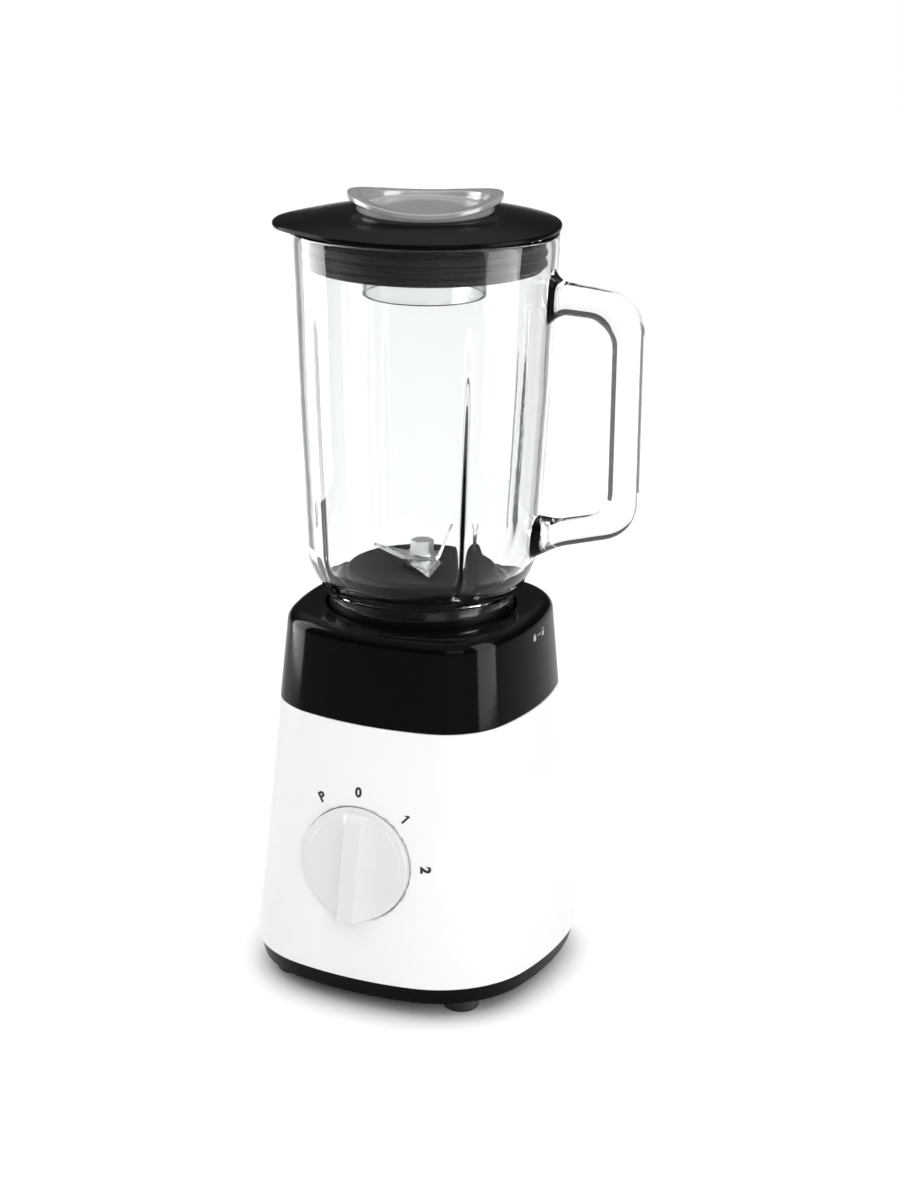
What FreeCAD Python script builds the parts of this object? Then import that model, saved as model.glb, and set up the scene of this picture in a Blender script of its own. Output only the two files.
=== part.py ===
"""Countertop blender: motor base with a dial, glass jug with blades, lid and measuring cap.

Millimetres. The origin lies on the floor on the base's axis, +Z up, the dial faces -Y.
"""

import FreeCAD, Part
import math
import os
import re

import Sketcher

V = FreeCAD.Vector
UP = V(0, 0, 1)

# ---------------------------------------------------------------- driving dimensions
SIZES = {
    # base: half widths of its rounded-square plan, at heights above the floor
    "rim_z": 8.4, "rim_half": 73.3, "skirt_z": 17.2, "skirt_half": 76.5, "tray_half": 75.6,
    "seam_z": 147.0, "seam_half": 64.0, "top_z": 190.0, "top_round": 7.0,
    "side_bow": 2.2, "corner_low": 0.69, "corner_high": 0.57, "wall": 2.6,
    # seat for the jug in the top of the base
    "seat_r": 46.6, "seat_floor": 172.0, "seat_wall": 2.6, "well_r": 17.0, "deck": 3.0,
    "edge_round": 1.6,
    # feet and screws under the base
    "foot_r": 8.8, "foot_at": 46.6, "foot_stem_r": 5.0, "post_r": 4.5, "post_x": 34.0, "post_y": 57.0,
    "post_top": 42.0, "screw_r": 1.7, "screw_play": 0.1, "screw_head_r": 3.4,
    # control dial, drawn about an axis normal to the tilted front face
    "dial_z": 76.0, "dial_r": 28.1, "dial_gap": 0.5, "dial_sink": 6.0, "dial_edge": 1.2, "dial_face": 1.6,
    "bevel": 3.6, "cup_start": 3.4, "grip_half": 4.4, "grip_near": 10.5, "grip_far": 5.5, "scoop_r": 14.0,
    "hub_r": 6.0, "hub_play": 0.05, "shaft_r": 3.0, "tilt": 5.5, "switch_half": 14.0, "switch_deep": 16.0,
    # inlet for the cord in the back wall
    "inlet_z": 32.0, "inlet_r": 7.9, "inlet_flange": 10.5, "cord_r": 3.6,
    # motor
    "rotor_r": 19.5, "air_gap": 0.6, "stack_low": 82.0, "stack_high": 117.0, "stator_half": 36.0,
    "axle_r": 4.0, "axle_play": 0.04, "axle_low": 38.0, "axle_top": 181.5, "bracket_low": 52.0,
    "bracket_high": 134.0, "bracket_thick": 5.0, "bracket_r": 41.0, "tie_at": 32.2, "tie_r": 2.8,
    "bearing_r": 11.0, "bearing_thick": 7.0, "brush_z": 66.0, "commutator_r": 11.0, "winding_r": 17.5,
    "winding_deep": 8.0, "coil_in": 23.0, "coil_out": 29.5, "coil_thick": 7.0, "arm_at": 38.5,
    "mount_r": 6.0, "mount_thick": 6.0, "fan_r": 30.0, "fan_low": 43.0, "fan_thick": 7.0,
    # coupling between the motor and the blades
    "dog_in": 5.2, "dog_out": 12.0, "dog_span": 20.0, "drive_r": 13.5, "drive_low": 175.0,
    "drive_plate": 179.0, "drive_top": 184.0, "driven_low": 179.3, "driven_plate": 184.3, "driven_top": 188.0,
    "dog_lead": 10.0,
    # lock ring and interlock
    "ring_in": 31.0, "ring_play": 0.08, "ring_low": 172.1, "ring_top": 178.6, "key_at": 42.0, "key_r": 2.0,
    "key_top": 181.4, "pin_at": 38.0, "pin_r": 2.0, "pin_low": 158.2, "pin_top": 172.05, "pin_rise": 2.0,
    "pin_angle": 200.0, "ramp_in": 6.0, "ramp_out": 3.5,
    # jug, turned by jug_yaw with its handle towards +X
    "jug_yaw": 8.0, "glass": 3.6, "mouth_r": 63.9, "mouth_z": 375.2, "waist_r": 57.4, "waist_z": 221.0,
    "hip_r": 47.0, "hip_z": 197.6, "bowl_round": 46.0, "heel_r": 44.9, "heel_z": 193.5, "spigot_r": 41.4,
    "spigot_low": 186.0, "throat_r": 37.6, "throat_top": 200.5, "spout_reach": 68.8, "spout_r": 17.0,
    "spout_low": 346.0, "rib_angle": 48.5, "rib_half": 2.9, "rib_deep": 3.4, "rib_top": 340.0,
    "handle_half": 6.0, "handle_round": 3.4, "handle_out": 107.9, "handle_in": 93.2, "handle_top": 351.3,
    "handle_under": 337.6, "handle_low": 231.2, "handle_over": 240.9,
    # collar under the glass and blade unit
    "collar_r": 45.4, "collar_low": 179.0, "collar_lip": 181.6, "collar_top": 193.4, "lip_r": 36.0,
    "flange_r": 39.5, "flange_top": 184.8, "lug_r": 46.4, "plug_r": 37.4, "disc_r": 35.0, "disc_z": 208.6,
    "hollow_r": 17.5, "hollow_top": 190.0, "bush_r": 6.0, "pin_play": 0.04, "spindle_r": 3.5,
    "spindle_low": 182.5, "spindle_top": 219.0, "blade_low": 211.6, "blade_thick": 1.4, "blade_reach": 28.0,
    "hub_thick": 1.0, "nut_high": 6.0, "nut_half": 5.0,
    # lid and measuring cap
    "lid_r": 64.7, "lid_low": 375.7, "lid_edge": 378.3, "lid_dome": 382.6, "skirt_in": 51.4,
    "skirt_out": 54.5, "skirt_low": 357.0, "beak_reach": 72.5, "beak_r": 18.0, "seal_r": 58.3, "seal_root": 56.4,
    "fin_pitch": 5.0, "cap_r": 36.9, "cap_hole": 31.0, "cup_r": 30.0, "cup_low": 343.4, "cup_wall": 1.8,
    "cap_core": 32.6, "cap_low": 382.9, "cap_edge": 2.8, "cap_front": 387.0, "cap_side": 392.0,
    "cap_floor": 385.0, "dish_r": 29.8, "saddle_r": 136.0, "lid_yaw": 26.0,
}

doc = FreeCAD.newDocument("countertop_blender")
sheet = doc.addObject("Spreadsheet::Sheet", "dims")
for row, (alias, size) in enumerate(SIZES.items(), start=1):
    sheet.set(f"A{row}", alias)
    sheet.set(f"B{row}", str(size))
    sheet.setAlias(f"B{row}", alias)
doc.recompute()

NODES = []


# ---------------------------------------------------------------- helpers
def rule(text):
    """The expression for a rule such as "seat_r + wall": each size's name becomes its cell."""
    return re.sub(r"[a-z_]+", lambda word: "dims." + word[0] if word[0] in SIZES else word[0], str(text))


def value(text):
    return float(sheet.evalExpression(rule(text)))


def bind(thing, **rules):
    """Bind properties to rules; a double underscore in a keyword stands for a dot."""
    for name, text in rules.items():
        thing.setExpression(name.replace("__", "."), rule(text))
    return thing


def node(thing, label):
    thing.Label = label
    NODES.append(thing)
    return thing


def new_body(label):
    return node(doc.addObject("PartDesign::Body", label), label)


def plane(body, role):
    return next(item for item in body.Origin.OriginFeatures if item.Role == role)


def new_sketch(body, name, role="XY_Plane", height="0", yaw="0"):
    """A sketch on one of the body's origin planes, raised by height and turned by yaw about +Z."""
    sketch = body.newObject("Sketcher::SketchObject", name)
    sketch.AttachmentSupport = [(plane(body, role), "")]
    sketch.MapMode = "FlatFace"
    axis = UP if role == "XY_Plane" else V(0, 1, 0)
    sketch.AttachmentOffset = FreeCAD.Placement(V(), FreeCAD.Rotation(axis, value(yaw)))
    return bind(sketch, AttachmentOffset__Base__z=height)


def add_outline(sketch, outline):
    """Draw a closed outline of (across, up) rules. A third rule makes the stretch that ends at that
    point an arc of that radius: positive bulges to the right of the way it is drawn, negative to the
    left."""
    points = [(value(point[0]), value(point[1])) for point in outline]
    ends = []
    for place, point in enumerate(outline):
        last = points[place - 1]
        this = points[place]
        if len(point) == 2:
            index = sketch.addGeometry(Part.LineSegment(V(*last, 0), V(*this, 0)), False)
            ends.append((index, 1, 2))
            continue
        radius = value(point[2])
        chord = V(this[0] - last[0], this[1] - last[1], 0)
        rise = math.sqrt(max(radius**2 - chord.Length**2 / 4, 0))
        left = V(-chord.y, chord.x, 0).normalize()
        middle = V(last[0] + this[0], last[1] + this[1], 0) / 2 + left * math.copysign(rise, radius)
        start = math.atan2(last[1] - middle.y, last[0] - middle.x)
        stop = math.atan2(this[1] - middle.y, this[0] - middle.x)
        circle = Part.Circle(middle, UP, abs(radius))
        if radius > 0:
            index = sketch.addGeometry(Part.ArcOfCircle(circle, start, stop), False)
            ends.append((index, 1, 2))
        else:
            index = sketch.addGeometry(Part.ArcOfCircle(circle, stop, start), False)
            ends.append((index, 2, 1))
        held = sketch.addConstraint(Sketcher.Constraint("Radius", index, abs(radius)))
        sketch.setExpression(f"Constraints[{held}]", f"abs({rule(point[2])})")
    for place, (index, first, last) in enumerate(ends):
        before = ends[place - 1]
        sketch.addConstraint(Sketcher.Constraint("Coincident", before[0], before[2], index, first))
    for (index, first, last), point, spot in zip(ends, outline, points):
        for kind, text, size in (("DistanceX", point[0], spot[0]), ("DistanceY", point[1], spot[1])):
            held = sketch.addConstraint(Sketcher.Constraint(kind, -1, 1, index, last, size))
            sketch.setExpression(f"Constraints[{held}]", rule(text))
    return sketch


def add_circle(sketch, radius, across="0", up="0"):
    index = sketch.addGeometry(Part.Circle(V(value(across), value(up), 0), UP, value(radius)), False)
    held = sketch.addConstraint(Sketcher.Constraint("Radius", index, value(radius)))
    sketch.setExpression(f"Constraints[{held}]", rule(radius))
    for kind, text in (("DistanceX", across), ("DistanceY", up)):
        held = sketch.addConstraint(Sketcher.Constraint(kind, -1, 1, index, 3, value(text)))
        sketch.setExpression(f"Constraints[{held}]", rule(text))
    return sketch


def add_rounded_square(sketch, half, corner):
    """Four bowed sides and four corner arcs, tangent to each other. The sides' radius is half times
    side_bow, the corners' is half times corner."""
    reach = value(half)
    side = reach * value("side_bow")
    round_ = reach * value(corner)
    back = side - reach
    spot = (-back + math.sqrt(2 * (side - round_) ** 2 - back**2)) / 2
    sweep = math.atan2(spot, spot + back)
    for quarter in range(4):
        turn_by = math.radians(90 * quarter)
        spin = FreeCAD.Rotation(UP, 90 * quarter)
        side_circle = Part.Circle(spin * V(-back, 0, 0), UP, side)
        corner_circle = Part.Circle(spin * V(spot, spot, 0), UP, round_)
        sketch.addGeometry(Part.ArcOfCircle(side_circle, turn_by - sweep, turn_by + sweep), False)
        sketch.addGeometry(
            Part.ArcOfCircle(corner_circle, turn_by + sweep, turn_by + math.pi / 2 - sweep), False
        )
    tie = Sketcher.Constraint
    for arc in range(8):
        sketch.addConstraint(tie("Tangent", arc, 2, (arc + 1) % 8, 1))
    for arc, axis in ((0, -1), (4, -1), (2, -2), (6, -2)):
        sketch.addConstraint(tie("PointOnObject", arc, 3, axis))
    for arc in (2, 4, 6):
        sketch.addConstraint(tie("Equal", 0, arc))
        sketch.addConstraint(tie("Equal", 1, arc + 1))
    sizes = (
        (tie("Radius", 0, side), f"({half}) * side_bow"),
        (tie("Radius", 1, round_), f"({half}) * {corner}"),
        (tie("DistanceX", 0, 3, -1, 1, back), f"({half}) * (side_bow - 1)"),
        (tie("DistanceX", -1, 1, 4, 3, back), f"({half}) * (side_bow - 1)"),
        (tie("DistanceY", 2, 3, -1, 1, back), f"({half}) * (side_bow - 1)"),
        (tie("DistanceY", -1, 1, 6, 3, back), f"({half}) * (side_bow - 1)"),
    )
    for constraint, text in sizes:
        held = sketch.addConstraint(constraint)
        sketch.setExpression(f"Constraints[{held}]", rule(text))
    return sketch


def turn(body, name, outline, cut=False):
    """Revolve an outline of (radius, height) rules about +Z, added to the body or cut from it."""
    sketch = add_outline(new_sketch(body, name + "_outline", "XZ_Plane"), outline)
    feature = body.newObject("PartDesign::Groove" if cut else "PartDesign::Revolution", name)
    feature.Profile = sketch
    feature.ReferenceAxis = (sketch, ["V_Axis"])
    feature.Angle = 360
    return feature


def extrude(body, name, sketch, length, cut=False, middle=False, down=False):
    feature = body.newObject("PartDesign::Pocket" if cut else "PartDesign::Pad", name)
    feature.Profile = sketch
    feature.Midplane = middle
    # a pocket cuts against its sketch's normal, so upward pockets are reversed
    feature.Reversed = (not down) if cut else down
    bind(feature, Length=length)
    return feature


def loft(body, name, sections, cut=False):
    feature = body.newObject("PartDesign::SubtractiveLoft" if cut else "PartDesign::AdditiveLoft", name)
    feature.Profile = sections[0]
    feature.Sections = sections[1:]
    feature.Ruled = True
    return feature


def square_loft(body, name, low, high, cut=False):
    """Loft between two rounded squares, each (half width, corner share, height)."""
    sections = []
    for part, (half, corner, height) in (("_low", low), ("_high", high)):
        sketch = new_sketch(body, name + part, height=height)
        sections.append(add_rounded_square(sketch, half, corner))
    return loft(body, name, sections, cut)


def disc(body, name, radius, low, length, across="0", up="0", cut=False):
    """A round boss or hole that rises from the height low by length."""
    sketch = add_circle(new_sketch(body, name + "_circle", height=low), radius, across, up)
    return extrude(body, name, sketch, length, cut)


def four_ways(body, name, feature, turns=4):
    """Repeat a feature evenly round +Z."""
    pattern = body.newObject("PartDesign::PolarPattern", name)
    pattern.Originals = [feature]
    pattern.Axis = (plane(body, "Z_Axis"), [""])
    pattern.Angle = 360
    pattern.Occurrences = turns
    body.Tip = pattern
    return pattern


def cylinder(name, radius, low, length, across="0", up="0"):
    thing = doc.addObject("Part::Cylinder", name)
    bind(thing, Radius=radius, Height=length)
    return bind(thing, Placement__Base__x=across, Placement__Base__y=up, Placement__Base__z=low)


def block(name, sizes, corner):
    """A box of (length, width, height) whose lowest corner is at corner."""
    thing = doc.addObject("Part::Box", name)
    bind(thing, Length=sizes[0], Width=sizes[1], Height=sizes[2])
    return bind(thing, Placement__Base__x=corner[0], Placement__Base__y=corner[1],
                Placement__Base__z=corner[2])


def fused(name, parts):
    thing = doc.addObject("Part::MultiFuse", name)
    thing.Shapes = parts
    return thing


def cut_away(name, base, tool):
    thing = doc.addObject("Part::Cut", name)
    thing.Base = base
    thing.Tool = tool
    return thing


def ring(name, inner, outer, low, length):
    """A plain ring on the axis."""
    hole = cylinder(name + "_hole", inner, f"{low} - 1", f"{length} + 2")
    return cut_away(name, cylinder(name + "_disc", outer, low, length), hole)


def spin_about_z(thing, angle):
    """Turn a finished piece about +Z, bound to a rule."""
    thing.Placement = FreeCAD.Placement(V(), FreeCAD.Rotation(UP, value(angle)))
    return thing


def half_at(height):
    """The base's outer half width at a height, as a rule."""
    return f"(skirt_half + (seam_half - skirt_half) * ({height} - skirt_z) / (seam_z - skirt_z))"


def set_on_front(thing):
    """Set a piece drawn about +Z on the dial's axis, its +Z along the front face's outward normal."""
    thing.Placement = FreeCAD.Placement(V(), FreeCAD.Rotation(V(1, 0, 0), 90 - value("tilt")))
    return bind(thing, Placement__Base__y="-" + half_at("dial_z"), Placement__Base__z="dial_z")


def at_angle(radius, angle):
    """Rules for a point at a radius and an angle in degrees."""
    return f"({radius}) * cos({angle})", f"({radius}) * sin({angle})"


def screws(label, spots, radius, low, length, head_radius, head):
    """Round-headed screws pointing up, as one group of separate solids; spots are (x, y) rules."""
    pieces = []
    for place, (across, up) in enumerate(spots):
        shank = cylinder(f"{label}_shank_{place}", radius, low, length, across, up)
        cap = cylinder(f"{label}_head_{place}", head_radius, f"{low} - {head}", head, across, up)
        pieces.append(fused(f"{label}_screw_{place}", [shank, cap]))
    group = doc.addObject("Part::Compound", label)
    group.Links = pieces
    return node(group, label)


# ---------------------------------------------------------------- base shells
def corners(reach_x, reach_y):
    """Four (x, y) rules, one in each quadrant."""
    return [(f"{x} * {reach_x}", f"{y} * {reach_y}") for x, y in ((1, 1), (-1, 1), (-1, -1), (1, -1))]


def upper_shell():
    """Black upper shell with rounded shoulders, the jug's round seat and four posts for the motor."""
    body = new_body("upper_shell")
    springing = half_at("(top_z - top_round)")
    square_loft(body, "outside", ("seam_half", "corner_high", "seam_z"),
                (springing, "corner_high", "top_z - top_round"))
    sections = []
    for step in range(5):
        sketch = new_sketch(body, f"shoulder_{step}", height=f"top_z - top_round * (1 - sin({22.5 * step}))")
        half = f"{springing} - top_round * (1 - cos({22.5 * step}))"
        sections.append(add_rounded_square(sketch, half, "corner_high"))
    loft(body, "shoulder", sections).Ruled = False
    square_loft(body, "inside", (f"{half_at('(seam_z - 1)')} - wall", "corner_high", "seam_z - 1"),
                (f"{half_at('(top_z - deck)')} - wall", "corner_high", "top_z - deck"), cut=True)
    disc(body, "cup", "seat_r + seat_wall", "seat_floor - deck", "top_z - seat_floor + deck - 1")
    disc(body, "seat", "seat_r", "seat_floor", "top_z - seat_floor + 1", cut=True)
    turn(body, "seat_edge", [("seat_r - 1", "top_z - edge_round"), ("seat_r", "top_z - edge_round"),
                             ("seat_r + edge_round", "top_z", "-edge_round"),
                             ("seat_r + edge_round", "top_z + 1"), ("seat_r - 1", "top_z + 1")], cut=True)
    disc(body, "well", "well_r", "seat_floor - deck - 1", "deck + 2", cut=True)
    disc(body, "pin_hole", "pin_r + ring_play", "seat_floor - deck - 1", "deck + 2",
         *at_angle("pin_at", "pin_angle"), cut=True)
    low = "bracket_high + bracket_thick + mount_thick"
    for place, spot in enumerate(corners("arm_at", "arm_at")):
        disc(body, f"post_{place}", "post_r", low, f"top_z - deck + 1 - ({low})", *spot)
        disc(body, f"pilot_{place}", "screw_r + screw_play", f"{low} - 1", "16", *spot, cut=True)
    return body


def front_sketch(body, name, depth):
    """A sketch square to the dial's axis, at a depth below the front face."""
    sketch = new_sketch(body, name, "XZ_Plane")
    sketch.AttachmentOffset = FreeCAD.Placement(V(), FreeCAD.Rotation(V(1, 0, 0), -value("tilt")))
    return bind(sketch, AttachmentOffset__Base__y=f"dial_z - ({depth}) * sin(tilt * 1deg)",
                AttachmentOffset__Base__z=f"{half_at('dial_z')} - ({depth}) * cos(tilt * 1deg)")


def body_shell():
    """White tapered shell, open at both ends, with a round cup for the dial and four screw posts."""
    body = new_body("body_shell")
    square_loft(body, "outside", ("skirt_half", "corner_low", "skirt_z"),
                ("seam_half", "corner_high", "seam_z"))
    square_loft(body, "inside", (f"{half_at('(skirt_z - 1)')} - wall", "corner_low", "skirt_z - 1"),
                (f"{half_at('(seam_z + 1)')} - wall", "corner_high", "seam_z + 1"), cut=True)
    cup = add_circle(front_sketch(body, "cup_circle", "cup_start"), "dial_r + dial_gap + wall")
    extrude(body, "cup", cup, "dial_sink + wall - cup_start", down=True)
    sink = add_circle(front_sketch(body, "sink_circle", "-3"), "dial_r + dial_gap")
    extrude(body, "sink", sink, "dial_sink + 3", cut=True, down=True)
    hole = add_circle(front_sketch(body, "hole_circle", "0"), "hub_r + hub_play")
    extrude(body, "hub_hole", hole, "dial_sink + wall + 1", cut=True, down=True)
    inlet = new_sketch(body, "inlet_circle", "XZ_Plane", height=f"-{half_at('inlet_z')} - 4")
    add_circle(inlet, "inlet_r + 0.5", up="inlet_z")
    extrude(body, "inlet", inlet, "9", cut=True)
    low = "rim_z + deck + 0.1"
    for place, (across, up) in enumerate(corners("post_x", "post_y")):
        disc(body, f"post_{place}", "post_r", low, f"post_top - ({low})", across, up)
        side = "1" if place < 2 else "-1"
        web = new_sketch(body, f"web_outline_{place}", height="skirt_z + 4")
        add_outline(web, [(f"{across} - 1.5", up), (f"{across} + 1.5", up),
                          (f"{across} + 1.5", f"{side} * (post_y + 11.5)"),
                          (f"{across} - 1.5", f"{side} * (post_y + 11.5)")])
        extrude(body, f"web_{place}", web, "post_top - skirt_z - 4")
        disc(body, f"pilot_{place}", "screw_r + screw_play", f"{low} - 1", "post_top - rim_z - 8",
             across, up, cut=True)
    return body


def bottom_plate():
    """Black tray that closes the base: a rim, a lip inside the shell, air slots, holes for the feet."""
    body = new_body("bottom_plate")
    square_loft(body, "outside", ("rim_half", "corner_low", "rim_z"), ("tray_half", "corner_low", "skirt_z"))
    inner = "- wall - 0.2"
    square_loft(body, "lip", (f"{half_at('(skirt_z - 2)')} {inner}", "corner_low", "skirt_z - 2"),
                (f"{half_at('(skirt_z + 4)')} {inner}", "corner_low", "skirt_z + 4"))
    square_loft(body, "inside", (f"{half_at('skirt_z')} {inner} - 2.4", "corner_low", "rim_z + deck"),
                (f"{half_at('(skirt_z + 5)')} {inner} - 2", "corner_low", "skirt_z + 5"), cut=True)
    for place, (across, up) in enumerate(corners("foot_at", "foot_at")):
        disc(body, f"foot_hole_{place}", "foot_stem_r", "rim_z - 1", "deck + 2", across, up, cut=True)
    for place, (across, up) in enumerate(corners("post_x", "post_y")):
        disc(body, f"screw_hole_{place}", "screw_r + screw_play", "rim_z - 1", "deck + 2", across, up, cut=True)
        disc(body, f"head_hole_{place}", "screw_head_r + screw_play", "rim_z - 1", "2.8", across, up, cut=True)
    for line in range(-3, 4):
        slot = new_sketch(body, f"slot_outline_{line + 3}", height="rim_z - 1")
        add_outline(slot, [("-22", f"{9 * line} - 1.5"), ("22", f"{9 * line} - 1.5"),
                           ("22", f"{9 * line} + 1.5"), ("-22", f"{9 * line} + 1.5")])
        extrude(body, f"slot_{line + 3}", slot, "deck + 2", cut=True)
    return body


def foot(label, across, up):
    """Rubber foot with a stem pressed into the bottom plate."""
    body = new_body(label)
    turn(body, "foot_solid", [("0", "0"), ("foot_r - 1.4", "0"), ("foot_r", "1.4", "1.4"),
                              ("foot_r", "rim_z"), ("foot_stem_r - 0.05", "rim_z"),
                              ("foot_stem_r - 0.05", "rim_z + deck"), ("0", "rim_z + deck")])
    return bind(body, Placement__Base__x=across, Placement__Base__y=up)


def cord_inlet():
    """Flanged bush in the back wall that the mains cord would pass through."""
    body = new_body("cord_inlet")
    turn(body, "bush", [("cord_r", "-5"), ("inlet_r", "-5"), ("inlet_r", "0.3"), ("inlet_flange", "0.3"),
                        ("inlet_flange", "1.6"), ("inlet_flange - 1", "2.4"), ("cord_r", "2.4")])
    body.Placement = FreeCAD.Placement(V(), FreeCAD.Rotation(V(1, 0, 0), value("tilt") - 90))
    return bind(body, Placement__Base__y=half_at("inlet_z"), Placement__Base__z="inlet_z")


# ---------------------------------------------------------------- dial and its switch
def knob():
    """Bevelled dial with a tapering grip bar between two concave scoops, drawn about its own axis."""
    body = new_body("knob")
    turn(body, "dial", [("shaft_r", "0.4 - dial_sink - wall"), ("hub_r", "0.4 - dial_sink - wall"),
                        ("hub_r", "0.3 - dial_sink"), ("dial_r", "0.3 - dial_sink"), ("dial_r", "-dial_edge"),
                        ("dial_r - bevel", "dial_face"), ("0", "dial_face"), ("0", "-1"), ("shaft_r", "-1")])
    side = new_sketch(body, "grip_outline", "YZ_Plane", height="-scoop_r - grip_half")
    add_outline(side, [("-dial_r - 2", "0.5"), ("dial_r - 3", "0.5"), ("dial_r - 3", "dial_face"),
                       ("dial_r - 7", "grip_far", "5"), ("-dial_r - 2", "grip_near")])
    extrude(body, "grip", side, "2 * (scoop_r + grip_half)")
    for hand in (-1, 1):
        hollow = new_sketch(body, f"scoop_circle_{hand + 1}", "XZ_Plane", height="-dial_r - 10")
        add_circle(hollow, "scoop_r", f"{hand} * (scoop_r + grip_half)", "dial_face + scoop_r")
        extrude(body, f"scoop_{hand + 1}", hollow, "2 * dial_r + 20", cut=True)
    trim = new_sketch(body, "trim_circles", height="-dial_edge")
    add_circle(trim, "dial_r")
    add_circle(trim, "2 * dial_r")
    extrude(body, "trim", trim, "20", cut=True)
    return set_on_front(body)


def knob_shaft():
    """Shaft from the dial into the switch."""
    shaft = cylinder("knob_pin", "shaft_r", "-dial_sink - wall - 10", "dial_sink + wall + 9")
    holder = doc.addObject("Part::Compound", "knob_shaft_set")
    holder.Links = [shaft]
    return set_on_front(node(holder, "knob_shaft"))


def rotary_switch():
    """Switch block behind the dial's cup, with four blade terminals at its back."""
    back = "-dial_sink - wall - 0.1"
    case = block("switch_case", ("2 * switch_half", "2 * switch_half", "switch_deep"),
                 ("-switch_half", "-switch_half", f"{back} - switch_deep"))
    bore = cylinder("switch_bore", "shaft_r + hub_play", f"{back} - 11", "12")
    blades = [block(f"terminal_{place}", ("5", "0.8", "8"),
                    (f"{9 * (place % 2)} - 7", f"{12 * (place // 2)} - 6.4", f"{back} - switch_deep - 7.5"))
              for place in range(4)]
    solid = cut_away("switch_block", fused("switch_blank", [case] + blades), bore)
    return set_on_front(node(solid, "rotary_switch"))


# ---------------------------------------------------------------- motor
def armature_pieces():
    """What turns on the motor's axle: core, windings, commutator, fan and drive coupling."""
    node(cylinder("axle", "axle_r", "axle_low", "axle_top - axle_low"), "motor_shaft")
    node(ring("core", "axle_r", "rotor_r", "stack_low", "stack_high - stack_low"), "armature_core")
    windings = doc.addObject("Part::Compound", "windings")
    windings.Links = [ring("winding_low", "axle_r + 4", "winding_r", "stack_low - winding_deep", "winding_deep"),
                      ring("winding_high", "axle_r + 4", "winding_r", "stack_high", "winding_deep")]
    node(windings, "armature_windings")
    node(ring("segments", "axle_r", "commutator_r", "brush_z - 6", "12"), "commutator")
    fan = new_body("cooling_fan")
    turn(fan, "fan_plate", [("axle_r", "fan_low"), ("fan_r", "fan_low"), ("fan_r", "fan_low + 1.4"),
                            ("axle_r + 5", "fan_low + 1.4"), ("axle_r + 5", "fan_low + fan_thick"),
                            ("axle_r", "fan_low + fan_thick")])
    vane = new_sketch(fan, "vane_outline", height="fan_low + 1")
    add_outline(vane, [("axle_r + 8", "-0.7"), ("fan_r - 0.5", "-4.7"), ("fan_r - 0.5", "-3.3"),
                       ("axle_r + 8", "0.7")])
    four_ways(fan, "vanes", extrude(fan, "vane", vane, "fan_thick - 1"), turns=11)


def dog_sketch(body, name, height):
    """A sector between the coupling's two dog radii."""
    half_span = "(dog_span / 2)"
    out_x, out_y = at_angle("dog_out", half_span)
    in_x, in_y = at_angle("dog_in", half_span)
    return add_outline(new_sketch(body, name, height=height),
                       [(in_x, f"-{in_y}"), (out_x, f"-{out_y}"), (out_x, out_y, "dog_out"), (in_x, in_y)])


def drive_coupling():
    """Plate on the motor's axle with four upward dogs."""
    body = new_body("drive_coupling")
    turn(body, "plate", [("axle_r", "drive_low"), ("drive_r", "drive_low"), ("drive_r", "drive_plate"),
                         ("axle_r", "drive_plate")])
    dog = extrude(body, "dog", dog_sketch(body, "dog_outline", "drive_plate - 1"), "drive_top - drive_plate + 1")
    four_ways(body, "dogs", dog)
    return body


def driven_coupling():
    """Plate under the jug with four downward dogs, which stand between the drive coupling's dogs."""
    body = new_body("driven_coupling")
    turn(body, "plate", [("spindle_r", "driven_plate"), ("drive_r", "driven_plate"), ("drive_r", "driven_top"),
                         ("spindle_r", "driven_top")])
    dog = extrude(body, "dog", dog_sketch(body, "dog_outline", "driven_low"), "driven_plate - driven_low + 1")
    four_ways(body, "dogs", dog)
    return spin_about_z(body, "45 + dog_lead")


def bearing(label, low):
    return node(ring(label, "axle_r + axle_play", "bearing_r", low, "bearing_thick"), label)


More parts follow.
